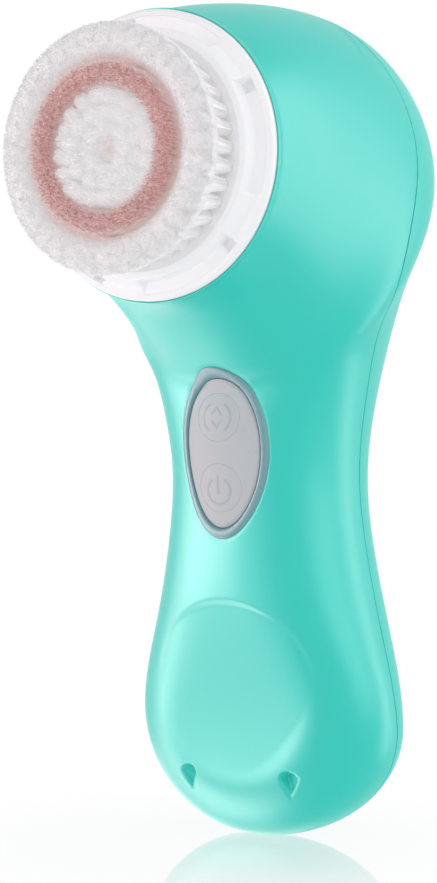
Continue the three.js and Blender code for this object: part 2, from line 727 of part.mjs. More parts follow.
// ---------------------------------------------------------------- brush head
function collar() {
  const { radius } = collarSize;
  const { edge, chamfer, step, top } = collarHeight;
  const body = turned(
    [
      [collarBore, clearance],
      [radius, clearance],
      [radius, edge - chamfer],
      [radius - chamfer, edge],
      [shoulderRadius, edge + step],
      [ridgeRadius, top],
      [collarInside, top],
      [collarInside, tuftFloor],
      [collarBore, tuftFloor],
    ],
    40,
  );
  const arcFrom = (r, from, to, steps = 5) =>
    Array.from({ length: steps + 1 }, (_, i) => {
      const t = THREE.MathUtils.degToRad(from + ((to - from) * i) / steps);
      return [-r * Math.cos(t), r * Math.sin(t)];
    });
  const wedge = (inner, outer, from, to, low) => {
    const outside = arcFrom(ridgeRadius + outer, from, to);
    return alongY([...outside, ...arcFrom(ridgeRadius + inner, to, from)], low, top + overcut);
  };
  const pockets = Array.from({ length: pocket.count }, (_, i) => {
    const from = pocket.start + (360 * i) / pocket.count;
    const to = from + pocket.arc;
    return join(
      wedge(0, pocket.width, from, to, pocket.floor),
      wedge(slot.from, slot.to, to - slot.start, to - slot.end, slot.floor),
    );
  });
  piece(head, "brush_collar", "collar", cut(body, ...pockets));
}

// Skirt that plugs into the well: a web behind the socket's flange, keys and a groove for the seal.
function adapter() {
  const outer = well.radius - plug.fit;
  const webFront = -socket.flange - clearance;
  const webBack = webFront - plug.web;
  const grooveRadius = outer - oRing.grooveDepth;
  const skirt = turned(
    [
      [hubPocket.radius, webBack],
      [outer - plug.rim, webBack],
      [outer - plug.rim, -plug.depth],
      [outer, -plug.depth],
      [outer, -oRing.middle - oRing.grooveHalf],
      [grooveRadius, -oRing.middle - oRing.grooveHalf],
      [grooveRadius, -oRing.middle + oRing.grooveHalf],
      [outer, -oRing.middle + oRing.grooveHalf],
      [outer, 0],
      [socketFlange + clearance, 0],
      [socketFlange + clearance, webFront],
      [hubPocket.radius, webFront],
    ],
    28,
  );
  const halfKey = keyways.width / 2 - clearance;
  const key = block([outer - plug.rim / 2, keyways.reach - clearance], [webBack, 0], [-halfKey, halfKey]);
  const keysAround = around(keyways.count, key, keyways.start);
  piece(head, "brush_adapter", "collar", join(skirt, ...keysAround));
  const sealRadius = well.radius - oRing.radius - oRing.gap;
  const section = circle(sealRadius, -oRing.middle, oRing.radius, 5);
  piece(head, "adapter_seal", "rubber", turned(section, 28));
}

// Fan-shaped dogs in a ring, or with room added the pockets that take them.
function dogs(room, from, to) {
  const arc = dog.arc + THREE.MathUtils.radToDeg(room / dog.outer);
  const outline = fan(dog.inner - room, dog.outer + room, -arc, arc, 6);
  return around(dog.count, alongY(outline, from, to));
}

function innerBrush() {
  const { flange, boss: bossRadius, depth } = socket;
  piece(head, "brush_plate", "collar", disc(plateRadius, clearance, tuftFloor, 36));
  const body = join(
    disc(socketFlange, -flange, 0, 28),
    disc(bossRadius, -depth, overcut - flange, 24),
  );
  const pockets = dogs(dog.room, -depth - overcut, dog.room - dog.reach);
  piece(head, "drive_socket", "collar", cut(body, ...pockets));
}

// Strands of one tuft ring inside the given edge: each strand is a thin three-sided taper from the
// backing to its tip.
function strands(edge, { inset, tufts, tip, lean, spread, hairs, phase = 0 }) {
  const radius = edge - inset;
  const made = [];
  for (let i = 0; i < tufts; i++) {
    const angle = (2 * Math.PI * (i + phase)) / tufts;
    const place = (r, t, s) =>
      new THREE.Vector3(
        r * Math.cos(angle) - t * Math.sin(angle),
        s,
        r * Math.sin(angle) + t * Math.cos(angle),
      );
    for (let k = 0; k < hairs; k++) {
      const local = (2 * Math.PI * (k + 0.25)) / hairs;
      const [dr, dt] = [Math.cos(local) * strand.apart, Math.sin(local) * strand.apart];
      const section = (r, t, s, size) =>
        [0, 1, 2].map((c) => {
          const turn = (2 * Math.PI * c) / 3 + k;
          return place(r + size * Math.cos(turn), t + size * Math.sin(turn), s);
        });
      const uneven = strand.uneven * Math.sin(7.3 * i + 2.1 * k);
      const foot = section(radius + dr, dt, backingTop - strand.root, strand.foot);
      const end = section(radius + lean + dr * spread, dt * spread, tip + uneven, strand.end);
      made.push(solid(skinned([foot, end])));
    }
  }
  return made;
}

function tuftGroup(name, finish, slice, edge, rows) {
  const grown = rows.flatMap((row) => strands(edge, row));
  piece(head, name, finish, slice.add(wasm.Manifold.union(grown)));
}

function bristles() {
  const slice = (inner, outer) => ring(inner, outer, backingBottom, backingTop, 28);
  const outerSlice = slice(collarBore + backing.margin, collarInside - clearance);
  tuftGroup("outer_bristles", "bristleWhite", outerSlice, collarInside, [outerTufts]);
  const [pinkInner, pinkOuter] = [plateRadius - pinkBand.inner, plateRadius - pinkBand.outer];
  tuftGroup("pink_bristles", "bristlePink", slice(pinkInner, pinkOuter), plateRadius, [pinkTufts]);
  const centreSlice = disc(pinkInner - clearance, backingBottom, backingTop, 24);
  tuftGroup("centre_bristles", "bristleWhite", centreSlice, plateRadius, centreTufts);
}

// ---------------------------------------------------------------- drive
function drive() {
  const { radius, tail, groove, grooveHalf, grooveDepth } = shaftSize;
  const hubFront = -socket.depth - hub.gap;
  const boreEnd = hubFront - hub.cap;
  const bore = disc(radius + closeFit, -hubPocketBack - 1, boreEnd, 16);
  const body = disc(hubPocket.radius - hub.room, hub.end - hubPocketBack, hubFront, 24);
  const teeth = dogs(0, hubFront - overcut, -dog.reach);
  piece(head, "drive_hub", "plastic", join(cut(body, bore), ...teeth));
  const grooveAt = out(rearBack + groove);
  const shaft = turned(
    [
      [0, out(rearBack + tail)],
      [radius, out(rearBack + tail)],
      [radius, grooveAt - grooveHalf],
      [radius - grooveDepth, grooveAt - grooveHalf],
      [radius - grooveDepth, grooveAt + grooveHalf],
      [radius, grooveAt + grooveHalf],
      [radius, boreEnd - clearance],
      [0, boreEnd - clearance],
    ],
    16,
  );
  piece(head, "drive_shaft", "steel", shaft);
  const bush = (inner, outer, from, to) => ring(inner, outer, from, to, 16);
  const sealFront = -hubPocketBack - clearance;
  piece(head, "shaft_seal", "rubber", bush(radius + closeFit, sealBore - closeFit, -bossBack, sealFront));
  const ringInner = radius - grooveDepth + overcut;
  const clip = bush(ringInner, retainer.outer, grooveAt - retainer.half, grooveAt + retainer.half);
  piece(head, "retaining_ring", "steel", clip);
  for (const [name, front] of [
    ["front_bearing", flangeFront + bearing.lip],
    ["rear_bearing", rearBack - bearing.lip - bearing.length],
  ]) {
    const made = bush(radius + closeFit, bearing.radius, out(front + bearing.length), out(front));
    piece(head, name, "steel", made);
  }
}

// Frame that carries the bearings and the stator: two plates joined by side rails.
function chassis() {
  const { inside, rail } = chassisSize;
  const side = inside + rail;
  const bearingHole = circle(0, axisZ, bearing.radius + closeFit, 20);
  const plateOutline = [
    [-side, chassisLow],
    [side, chassisLow],
    [side, chassisHigh],
    [shoulder.half, chassisHigh + shoulder.rise],
    [-shoulder.half, chassisHigh + shoulder.rise],
    [-side, chassisHigh],
  ];
  const plate = (front, back) => alongY(plateOutline, front, back, [bearingHole]);
  const tube = (front, back) => alongY(circle(0, axisZ, bearing.tube, 20), front, back, [bearingHole]);
  const tubeLength = bearing.lip * 2 + bearing.length;
  const rails = [-1, 1].map((sign) => {
    const span = (a, b) => [Math.min(sign * a, sign * b), Math.max(sign * a, sign * b)];
    const high = chassisHigh - shoulder.rise;
    const depth = [flangeBack - overcut, rearFront + overcut];
    const upright = block(span(inside, side), depth, [chassisLow, high]);
    const along = [armatureY - core.half - overcut, armatureY + core.half + overcut];
    const shelf = block(span(ledge.inner, inside + overcut), along, [chassisLow, ironLow - clearance]);
    return join(upright, shelf);
  });
  const holes = (radius, front, back) =>
    screwSpots.map(([x, z]) => alongY(circle(x, z + axisZ, radius, 12), front - overcut, back + overcut));
  const { inner, outer, from, to } = plateWindow;
  const window = fan(inner, outer, from, to, 6).map(([x, z]) => [x, z + axisZ]);
  const frame = join(
    plate(flangeFront, flangeBack),
    plate(rearFront, rearBack),
    tube(flangeFront, flangeFront + tubeLength),
    tube(rearBack - tubeLength, rearBack),
    ...rails,
  );
  const room = bodySolid(wall + clearance);
  const made = cut(
    frame.intersect(room),
    alongY(window, rearFront - overcut, rearBack + overcut),
    ...holes(screwSize.shank + screwSize.holeFit, flangeFront, flangeBack),
    ...holes(screwSize.head + 2 * clearance, rearFront, rearBack),
  );
  piece(handle, "motor_chassis", "plastic", made);
}

function chassisScrews() {
  const { shank, head: headRadius, thick } = screwSize;
  const under = out(flangeBack + clearance);
  const top = under - thick;
  screwSpots.forEach(([x, z], i) => {
    const screw = turned(
      [
        [0, top + 0.6],
        [0.3 * headRadius, top],
        [0.75 * headRadius, top + 0.1],
        [headRadius, top + 0.8],
        [headRadius, under],
        [shank, under],
        [shank, screwTip],
        [0, screwTip],
      ],
      10,
    );
    piece(head, "chassis_screw_" + (i + 1), "steel", screw.translate([x, 0, z]));
  });
}

// Outline of a rectangle with round corners about the origin.
function rounded(halfX, halfY, corner) {
  const quarters = [
    [1, 1],
    [-1, 1],
    [-1, -1],
    [1, -1],
  ];
  return quarters.flatMap(([sx, sy], quarter) =>
    Array.from({ length: 5 }, (_, i) => {
      const t = ((quarter + i / 4) * Math.PI) / 2;
      const [x, y] = [sx * (halfX - corner), sy * (halfY - corner)];
      return [x + corner * Math.cos(t), y + corner * Math.sin(t)];
    }),
  );
}

// Armature on the shaft and the wound core below it: current in the coil swings the magnets.
function motorParts() {
  const aboutAxis = (outline) => outline.map(([x, z]) => [x, z + axisZ]);
  const slab = (outline, half) => alongY(outline, armatureY - half, armatureY + half);
  const { arm, hubRadius, hubHalf, inner, arc } = armature;
  const hubRing = slab(circle(0, axisZ, hubRadius), hubHalf);
  const bar = slab(aboutAxis(fan(inner, magnet.inner - clearance, -arc, arc, 10)), arm);
  const bore = slab(circle(0, axisZ, shaftSize.radius + closeFit, 16), hubHalf + overcut);
  piece(handle, "armature_arm", "plastic", cut(join(hubRing, bar), bore));
  for (const [name, from, to] of [
    ["magnet_left", -magnet.to, -magnet.from],
    ["magnet_right", magnet.from, magnet.to],
  ]) {
    piece(handle, name, "magnet", slab(aboutAxis(fan(magnet.inner, magnet.outer, from, to)), magnet.half));
  }
  const [legIn, legOut] = core.sideLegs;
  const depth = [armatureY - core.half, armatureY + core.half];
  const yokeHalf = chassisSize.inside - clearance;
  const iron = join(
    block([-yokeHalf, yokeHalf], depth, [ironLow, ironTop]),
    ...[
      [-legOut, -legIn],
      [-core.pole, core.pole],
      [legIn, legOut],
    ].map((span) => block(span, depth, [ironTop - overcut, legTop])),
  );
  piece(handle, "stator_core", "iron", iron);
  const { halfX, halfY, corner, height, lift } = winding;
  const hole = rounded(core.pole + clearance, core.half + clearance, 0.15 * corner);
  const coilBody = extruded(rounded(halfX, halfY, corner), height, [hole]);
  piece(handle, "stator_coil", "copper", solid(coilBody.translate(0, armatureY, ironTop + lift)));
}

// ---------------------------------------------------------------- electronics and power
const boardScrewZ = [board.low + boardScrew.low, board.high - boardScrew.high];

function electronics() {
  const { front, half, low, high, corner } = board;
  const outline = [
    [-half, low],
    [half, low],
    [half, high - corner],
    [half - corner, high],
    [corner - half, high],
    [-half, high - corner],
  ];
  const mounted = front - clearance; // what lies on the board
  const holes = boardScrewZ.map((z) => circle(0, z, boardScrew.shank + clearance, 12));
  piece(handle, "circuit_board", "board", alongY(outline, front, boardBack, holes));
  for (const { name, z } of keys) {
    const { half: side, plunger, plungerRadius } = switchSize;
    const body = block([-side, side], [switchTop + plunger, mounted], [z - side, z + side]);
    const button = alongY(circle(0, z, plungerRadius, 16), switchTop, switchTop + plunger + overcut);
    piece(handle, name.replace("button", "switch"), "plastic", join(body, button));
  }
  const onBoard = (name, finish, halfX, thick, z0, z1) =>
    piece(handle, name, finish, block([-halfX, halfX], [mounted - thick, mounted], [z0, z1]));
  onBoard("status_led", "lamp", lamp.half, lamp.thick, eggCentre + lamp.low, eggCentre + lamp.high);
  const chipHigh = Math.min(...keys.map(({ z }) => z)) - switchSize.half - chip.below;
  onBoard("motor_driver_chip", "plastic", chip.half, chip.thick, chipHigh - chip.tall, chipHigh);
  boardScrewZ.forEach((z, i) => {
    const { shank, head: headRadius, thick, bite } = boardScrew;
    const screw = join(
      alongY(circle(0, z, headRadius, 16), mounted - thick, mounted),
      alongY(circle(0, z, shank, 12), mounted - overcut, cradleFront + bite),
    );
    piece(handle, "board_screw_" + (i + 1), "steel", screw);
  });
}

// Cradle: a trough round the cell, a plate for the board, and bulkheads that fit the shell.
function cradle() {
  const { half, end, endGap, front } = cradleSize;
  const arc = (r, from, to) =>
    Array.from({ length: 17 }, (_, i) => {
      const t = THREE.MathUtils.degToRad(from + ((to - from) * i) / 16);
      return [r * Math.cos(t), cellY + r * Math.sin(t)];
    });
  const trough = extruded(
    [...arc(troughRadius, -215, 35), ...arc(cell.radius + clearance, 35, -215)],
    cell.length + 2 * (endGap + overcut),
  );
  const snug = cut(bodySolid(wall + clearance), alongX(faceProfile(wall + clearance), -beyond, beyond));
  const bulkhead = (low) =>
    snug.intersect(block([-beyond, beyond], [front, beyond], [low, low + end]));
  const made = join(
    solid(trough.translate(0, 0, cell.low - endGap - overcut)),
    block([-half, half], [cradleFront, cradleBack], [board.low - boardScrew.high, board.high - end]),
    bulkhead(cell.low - endGap - end),
    bulkhead(cellHigh + endGap),
  );
  const pilotRadius = boardScrew.shank + boardScrew.fit;
  const pilot = (z) =>
    alongY(circle(0, z, pilotRadius, 12), cradleFront - overcut, cradleBack + 2 * overcut);
  const { from, to, depth } = wireNotch;
  const wires = block([from, to], [front - overcut, front + depth], [cell.low - 2 * end, cell.low]);
  const sealRoom = seamBand(wall, gasket.depth + clearance * 3, gasket.halfWidth + clearance);
  piece(handle, "battery_cradle", "plastic", cut(made, ...boardScrewZ.map(pilot), wires, sealRoom));
}

function powerCell() {
  const { radius, low } = cell;
  const [shell, cap, contact] = [radius - 0.4, 2.6, 0.8];
  const made = turned(
    [
      [0, low],
      [shell, low],
      [radius, low + 0.4],
      [radius, cellHigh - contact - 0.5],
      [shell, cellHigh - contact],
      [cap, cellHigh - contact],
      [cap - 0.2, cellHigh],
      [0, cellHigh],
    ],
    20,
  );
  piece(handle, "battery", "cell", made.rotate([90, 0, 0]).translate([0, cellY, 0]));
}

// Charging coil and its shield lie behind the flat face and share its tilt.
function charging() {
  const { outer, inner, thick, z } = coil;
  const tilt = new THREE.Group();
  tilt.position.set(0, face.top[0] + face.slope * (face.top[1] - z), z);
  tilt.rotation.x = Math.atan(face.slope);
  handle.add(tilt);
  const start = wall + clearance;
  const end = start + thick;
  piece(tilt, "charging_coil", "copper", ring(inner, outer, start, end, 24));
  piece(tilt, "docking_magnet", "magnet", disc(inner - shield.lap * 2, start, end, 16));
  const backed = disc(outer + shield.lap, end + clearance, end + clearance + shield.thick, 24);
  piece(tilt, "ferrite_shield", "ferrite", backed);
}

// ---------------------------------------------------------------- assembly
shells();
bezel();
pad();
keys.forEach(keyCap);
collar();
adapter();
innerBrush();
bristles();
drive();
chassis();
chassisScrews();
motorParts();
electronics();
cradle();
powerCell();
charging();

// The origin goes under the middle of the whole object's box.
root.updateMatrixWorld(true);
const box = new THREE.Box3().setFromObject(root, true);
handle.position.set(0, -(box.min.y + box.max.y) / 2, -box.min.z);

export default root;
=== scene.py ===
# Facial cleansing brush: smooth moulded shells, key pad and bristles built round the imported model.
import math

import bpy
import numpy as np
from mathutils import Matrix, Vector


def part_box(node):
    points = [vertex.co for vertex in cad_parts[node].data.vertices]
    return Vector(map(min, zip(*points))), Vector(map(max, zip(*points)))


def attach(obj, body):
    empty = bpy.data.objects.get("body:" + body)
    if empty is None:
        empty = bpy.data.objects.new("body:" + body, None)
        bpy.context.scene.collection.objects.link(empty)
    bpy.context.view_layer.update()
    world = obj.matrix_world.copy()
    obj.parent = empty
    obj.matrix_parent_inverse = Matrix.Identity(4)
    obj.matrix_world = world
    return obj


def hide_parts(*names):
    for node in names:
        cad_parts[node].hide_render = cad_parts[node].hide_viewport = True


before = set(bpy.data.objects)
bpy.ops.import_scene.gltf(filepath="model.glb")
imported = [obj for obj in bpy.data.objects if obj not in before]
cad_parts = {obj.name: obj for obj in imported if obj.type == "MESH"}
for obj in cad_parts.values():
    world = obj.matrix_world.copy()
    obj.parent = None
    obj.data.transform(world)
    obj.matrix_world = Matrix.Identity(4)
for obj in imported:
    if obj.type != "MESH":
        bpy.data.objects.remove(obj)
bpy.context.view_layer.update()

print("frame: packed model loaded")

mm = 0.001
turn = 2 * math.pi

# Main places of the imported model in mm, in the handle's own frame; depths are counted out of the seat. shift
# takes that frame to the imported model's, by the place of its collar.
axisZ = 118.65
seatY = -38.1
rimRadius = 24.6
rimLip = 0.5
rimY = seatY + rimLip
collarLow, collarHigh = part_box("brush_collar")
shift = np.array([0.0, collarHigh.y / mm - (seatY - 0.3), (collarLow.z + collarHigh.z) / 2 / mm - axisZ])
halvings = 60  # steps of each search by halving
mergeStep = 2e-4  # points of a surface in the same cell of this many mm become one
tiny = 1e-9


def signedPower(value, power):
    return np.sign(value) * np.abs(value) ** power


def step(low, high, value):  # 0 below low, 1 above high, cubic between
    t = np.clip((value - low) / (high - low), 0, 1)
    return t * t * (3 - 2 * t)


def blendTo(a, b, t):
    return a + (b - a) * t


def unit(vectors):
    return vectors / np.maximum(np.linalg.norm(vectors, axis=-1, keepdims=True), 1e-12)


# Smooth curve through one number per station: cubic pieces whose second derivatives meet, with a natural
# start, and at the end no slope where flatEnd asks for it.
def smooth(values, flatEnd):
    v = np.array(values, float)
    n = len(v)
    a = np.zeros((n, n))
    right = np.zeros(n)
    inner = np.arange(1, n - 1)
    a[inner, inner - 1], a[inner, inner], a[inner, inner + 1] = 1, 4, 1
    right[inner] = 3 * (v[2:] - v[:-2])
    a[0, 0], a[0, 1], right[0] = 2, 1, 3 * (v[1] - v[0])
    if flatEnd:
        a[-1, -1] = 1
    else:
        a[-1, -2], a[-1, -1], right[-1] = 1, 2, 3 * (v[-1] - v[-2])
    m = np.linalg.solve(a, right)

    def curve(u):
        i = np.clip(np.floor(u).astype(int), 0, n - 2)
        t = u - i
        return (
            (2 * t**3 - 3 * t**2 + 1) * v[i]
            + (t**3 - 2 * t**2 + t) * m[i]
            + (3 * t**2 - 2 * t**3) * v[i + 1]
            + (t**3 - t**2) * m[i + 1]
        )

    return curve


# Points in mm, rows by columns; each cell becomes a face, and shared points are merged afterwards.
class Shape:
    def __init__(self):
        self.points, self.faces, self.count = [], [], 0

    def grid(self, points, closeRows=False, closeCols=False, flip=False):
        rows, cols = points.shape[:2]
        index = np.arange(rows * cols).reshape(rows, cols) + self.count
        if closeRows:
            index = np.vstack([index, index[:1]])
        if closeCols:
            index = np.hstack([index, index[:, :1]])
        faces = np.stack([index[:-1, :-1], index[1:, :-1], index[1:, 1:], index[:-1, 1:]], -1).reshape(-1, 4)
        self.points.append(points.reshape(-1, 3))
        self.faces.append(faces[:, ::-1] if flip else faces)
        self.count += rows * cols
        return self

    # Tubes along many lines at once: lines, steps along each, corners round it.
    def tubes(self, points):
        lines, steps, sides = points.shape[:3]
        index = np.arange(lines * steps * sides).reshape(lines, steps, sides) + self.count
        index = np.concatenate([index, index[:, :, :1]], 2)
        faces = np.stack([index[:, :-1, :-1], index[:, :-1, 1:], index[:, 1:, 1:], index[:, 1:, :-1]], -1)
        caps = index[:, -1, [0, 1, 2, 2]]
        self.points.append(points.reshape(-1, 3))
        self.faces += [faces.reshape(-1, 4), caps]
        self.count += lines * steps * sides
        return self

    # Merges points, drops corners that fell together, and makes an object that rides on its body.
    def made(self, name, body, material, slot, merge=True, sharp=None):
        points = np.concatenate(self.points)
        faces = np.concatenate(self.faces)
        if merge:
            keys = np.round(points / mergeStep).astype(np.int64)
            same, first, back = np.unique(keys, axis=0, return_index=True, return_inverse=True)
            points, faces = points[first], back.reshape(-1)[faces]
        kept = faces != np.roll(faces, 1, axis=1)
        kept &= ~((faces[:, [0]] == faces[:, [2]]) | (faces[:, [1]] == faces[:, [3]]))
        corners = kept.sum(1)
        good = corners >= 3
        loops, corners = faces[good][kept[good]], corners[good]
        mesh = bpy.data.meshes.new(name)
        mesh.vertices.add(len(points))
        mesh.vertices.foreach_set("co", ((points + shift) * mm).astype(np.float32).ravel())
        mesh.loops.add(len(loops))
        mesh.loops.foreach_set("vertex_index", loops.astype(np.int32))
        mesh.polygons.add(len(corners))
        mesh.polygons.foreach_set("loop_start", np.concatenate([[0], np.cumsum(corners)[:-1]]).astype(np.int32))
        mesh.polygons.foreach_set("use_smooth", np.ones(len(corners), bool))
        mesh.update(calc_edges=True)
        mesh.validate()
        if sharp:
            mesh.set_sharp_from_angle(angle=math.radians(sharp))
        piece = linked(name, mesh)
        mesh.materials.append(material)
        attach(piece, body)
        print("piece:", name, len(points), "points,", int((corners - 2).sum()), "triangles")
        return piece


def linked(name, data):
    placed = bpy.data.objects.new(name, data)
    bpy.context.scene.collection.objects.link(placed)
    return placed


# A place by its radius round the brush axis, its depth out of the seat and its angle, and moved across.
def roundAxis(radius, depth, angle, across=0.0):
    c, s = np.cos(angle), np.sin(angle)
    x, z = radius * c - across * s, axisZ + radius * s + across * c
    return np.stack(np.broadcast_arrays(x, seatY - depth, z), -1)


def mirrored(points):
    return points * np.array([-1.0, 1.0, 1.0])


body = {
    "front": [[rimY, -30.6, -21.7, -18.2, -17.9, -17.5, -17.2, -17.2, -15.3],
              [94.05, 91.3, 84.3, 80.4, 75.7, 67.0, 58.0, 42.0, 25.0]],  # depth, height
    "rear": [[rimY, -19.2, 10.5, 26.4, 25.0, 18.2, 15.2, 17.2, 14.8],
             [143.25, 147.2, 146.9, 132.2, 113.0, 84.0, 60.5, 37.6, 17.2]],
    "half": [rimRadius, 26.0, 27.5, 27.8, 23.1, 18.5, 17.7, 21.1, 25.0],
    "power": [2.0, 2.1, 2.15, 2.2, 2.2, 2.2, 2.2, 2.2, 2.3],
    "poleY": -3.0,
    "capPowers": [1.96, 1.97, 2.14],  # front, rear, side
    "parting": [[2.0, 2.0, 0.6, 1.5, 1.0, 0.2, -2.2, 0.8, 4.6, 2.6, -3.0],
                [-6.0, 13.0, 26.0, 45.0, 62.0, 80.0, 95.0, 110.0, 124.0, 140.0, 156.0]],
    "wall": 2.2,
    "seamGap": 0.28,
    "seamRound": 0.14,
    "faceFrom": 1.5,  # u above the keys, from where the front's depth is searched downwards
    "seamTop": (1.0, 3.0),  # u on either side of the seam's upper and lower end
    "seamBottom": (9.0, 8.0),
    "narrow": 0.9998,  # share of the width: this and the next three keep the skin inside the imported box
    "lowest": 0.006,
    "trimTop": (0.32, 128.0, 148.5),  # this much comes off between these heights
    "trimRear": (0.17, 15.0, 27.6),  # and between these depths
}
last = len(body["half"]) - 1
endU = last + 1.0  # the pole at the bottom
frontY, frontZ = smooth(body["front"][0], True), smooth(body["front"][1], False)
rearY, rearZ = smooth(body["rear"][0], True), smooth(body["rear"][1], False)
halfWidth, sectionPower = smooth(body["half"], True), smooth(body["power"], True)
partingTrack = np.linspace(0, len(body["parting"][0]) - 1, 4000)
partingDepths = smooth(body["parting"][0], False)(partingTrack)
partingHeights = smooth(body["parting"][1], False)(partingTrack)


def partingAt(z):
    return np.interp(z, partingHeights, partingDepths)


# Section at u: stations 0 to 8, then 8 to 9 a superellipse cap that closes at the bottom pole.
def sectionAt(u):
    u = np.asarray(u, float)
    t = np.clip(u - last, 0, 1) * math.pi / 2
    c, s = np.cos(t), np.sin(t)
    v = np.minimum(u, last)
    pf, pr, ps = body["capPowers"]
    pole = body["poleY"]
    c = np.maximum(c, 0)
    return {
        "frontY": pole + (frontY(v) - pole) * c ** (2 / pf),
        "frontZ": frontZ(v) * (1 - s ** (2 / pf)),
        "rearY": pole + (rearY(v) - pole) * c ** (2 / pr),
        "rearZ": rearZ(v) * (1 - s ** (2 / pr)),
        "half": halfWidth(v) * c ** (2 / ps),
        "power": sectionPower(v),
    }


# Superellipse round each section: x = half cos^(2/p) v; y and z run from the front rail point at
# v = -pi/2 to the rear one at v = pi/2 by (1 + sin^(2/p) v) / 2.
def skin(u, v):
    s = sectionAt(u)
    x = s["half"] * signedPower(np.cos(v), 2 / s["power"]) * body["narrow"]
    along = (1 + signedPower(np.sin(v), 2 / s["power"])) / 2
    y, z = blendTo(s["frontY"], s["rearY"], along), blendTo(s["frontZ"], s["rearZ"], along)
    (offTop, *topSpan), (offRear, *rearSpan) = body["trimTop"], body["trimRear"]
    y, z = y - offRear * step(*rearSpan, y), z - offTop * step(*topSpan, z)
    return np.stack([x, y, np.maximum(z, body["lowest"])], -1)


# Outward normal: the cross product of the skin's slopes along u and along v.
def skinNormal(u, v, small=2e-3):
    a = skin(np.minimum(u + small, endU - small / 4), v) - skin(np.maximum(u - small, 0), v)
    b = skin(u, v + small) - skin(u, v - small)
    return unit(np.cross(a, b))


# Where isOutside turns true between inside and outside, by halving, for whole arrays at once.
def halved(isOutside, inside, outside):
    for _ in range(halvings):
        middle = (inside + outside) / 2
        beyond = isOutside(middle)
        inside, outside = np.where(beyond, inside, middle), np.where(beyond, middle, outside)
    return outside


# Depth of the front surface at a place seen from the front: the section is sought whose superellipse passes
# there, with along = (1 - (1 - (x / half)^p)^(1/p)) / 2 as its way from the front to the rear rail point.
def frontDepth(x, z):
    def onSection(u):
        s = sectionAt(u)
        share = np.abs(x) / np.maximum(s["half"], 1e-6)
        along = (1 - np.maximum(1 - share ** s["power"], 0) ** (1 / s["power"])) / 2
        return blendTo(s["frontY"], s["rearY"], along), blendTo(s["frontZ"], s["rearZ"], along)

    def isBelow(u):
        return onSection(u)[1] <= z

    return onSection(halved(isBelow, np.full(np.shape(x), body["faceFrom"]), np.full(np.shape(x), endU)))[0]


# How far the skin lies behind the parting surface moved by offset along Y.
def behindParting(u, v, offset):
    p = skin(u, v)
    return p[:, 1] - partingAt(p[:, 2]) - offset


# v at which each section meets that surface; where it doesn't, isOpen is false and v is pi/2.
def seamAt(u, offset):
    def isBehind(v):
        return behindParting(u, v, offset) > 0

    front, rear = np.full(len(u), -math.pi / 2), np.full(len(u), math.pi / 2)
    isOpen = behindParting(u, rear, offset) > tiny
    return np.where(isOpen, halved(isBehind, front, rear), rear), isOpen


# u of the seam's top and bottom, where the rear rail crosses the parting surface.
def seamEnds(offset):
    def isBehind(u):
        return behindParting(u, np.full(len(u), math.pi / 2), offset) > 0

    return halved(isBehind, *np.array([body["seamTop"], body["seamBottom"]]).T)


keyPad = {
    "centre": 68.7,
    "skew": 0.1,
    "bezel": (8.75, 15.0),
    "pad": (7.25, 13.0),
    "recess": 2.9,
    "recessEdge": (-0.62, -0.3),  # mm outside the bezel's outline, from where to where the recess ends
    "groove": (0.02, 0.16, 0.16),  # mm outside the outline, width and depth of the fine line round the bezel
    "outline": 8.9,  # mm from the middle to the outline, as those two count it
    "reach": 20.0,
    "back": 2.3,
    "speedZ": 75.0,
    "powerZ": 62.7,
}
chargerFace = {
    "top": (-16.6, 42.7), "slope": 0.19, "flatTo": 30.0, "ease": 20.0,
    "z": 27.6, "half": 16.1, "tall": 15.1, "stretch": 1.35, "edge": 1.2, "lowEdge": 11.0, "lowSpan": (14.0, 29.0),
    "soft": 1.1, "least": 0.2, "leastFade": (25.0, 38.0), "fade": (3.0, 9.0),
}
notches = {
    "x": 10.15, "z": 11.7, "radius": 1.45, "tip": 3.9, "wide": 1.75,  # wide stretches the outer side
    "floor": -10.3, "edge": (-0.8, 0.12), "level": 0.5, "shallow": 0.75,
}


# An egg: x = half sin t, times 1 + skew cos t, which makes the top wider, and z = centre + tall cos t.
def egg(size, t, grow=0.0):
    half, tall = size
    x = (half + grow) * np.sin(t) * (1 + keyPad["skew"] * np.cos(t))
    return x, keyPad["centre"] + (tall + grow) * np.cos(t)


def eggShare(size, x, z):  # 0 in the middle, 1 on the outline
    rise = (z - keyPad["centre"]) / size[1]
    return np.hypot(x / (size[0] * (1 + keyPad["skew"] * rise)), rise)


# Flat with a slope, then easing to upright by a parabola over the height called ease.
def flatDepth(z):
    f = chargerFace
    flatY = f["top"][0] + f["slope"] * (f["top"][1] - f["flatTo"])
    t = np.clip((f["flatTo"] - z) / f["ease"], 0, 1)
    eased = flatY + f["slope"] * f["ease"] * (t - t * t / 2)
    return np.where(z > f["flatTo"], f["top"][0] + f["slope"] * (f["top"][1] - z), eased)


# Distance outside the oval, by its norm over the norm's slope.
def ovalDistance(x, z):
    f = chargerFace
    a = f["half"]
    b = np.where(z < f["z"], f["tall"] * f["stretch"], f["tall"])
    h = z - f["z"]
    k = np.maximum(np.hypot(x / a, h / b), 1e-6)
    return (k - 1) * k / np.hypot(x / a**2, h / b**2)


# Distance outside a teardrop: a disc and the cone from it to its tip below.
def notchDistance(x, z):
    f = notches
    px, pz = np.abs(np.abs(x) - f["x"]), f["z"] - z
    r, h = f["radius"], f["tip"]
    b = r / h
    a = math.sqrt(1 - b * b)
    k = -b * px + a * pz
    disc = np.hypot(px, pz) - r
    tip = np.hypot(px, pz - h)
    return np.where(k < 0, disc, np.where(k > a * h, tip, a * px + b * pz - r))


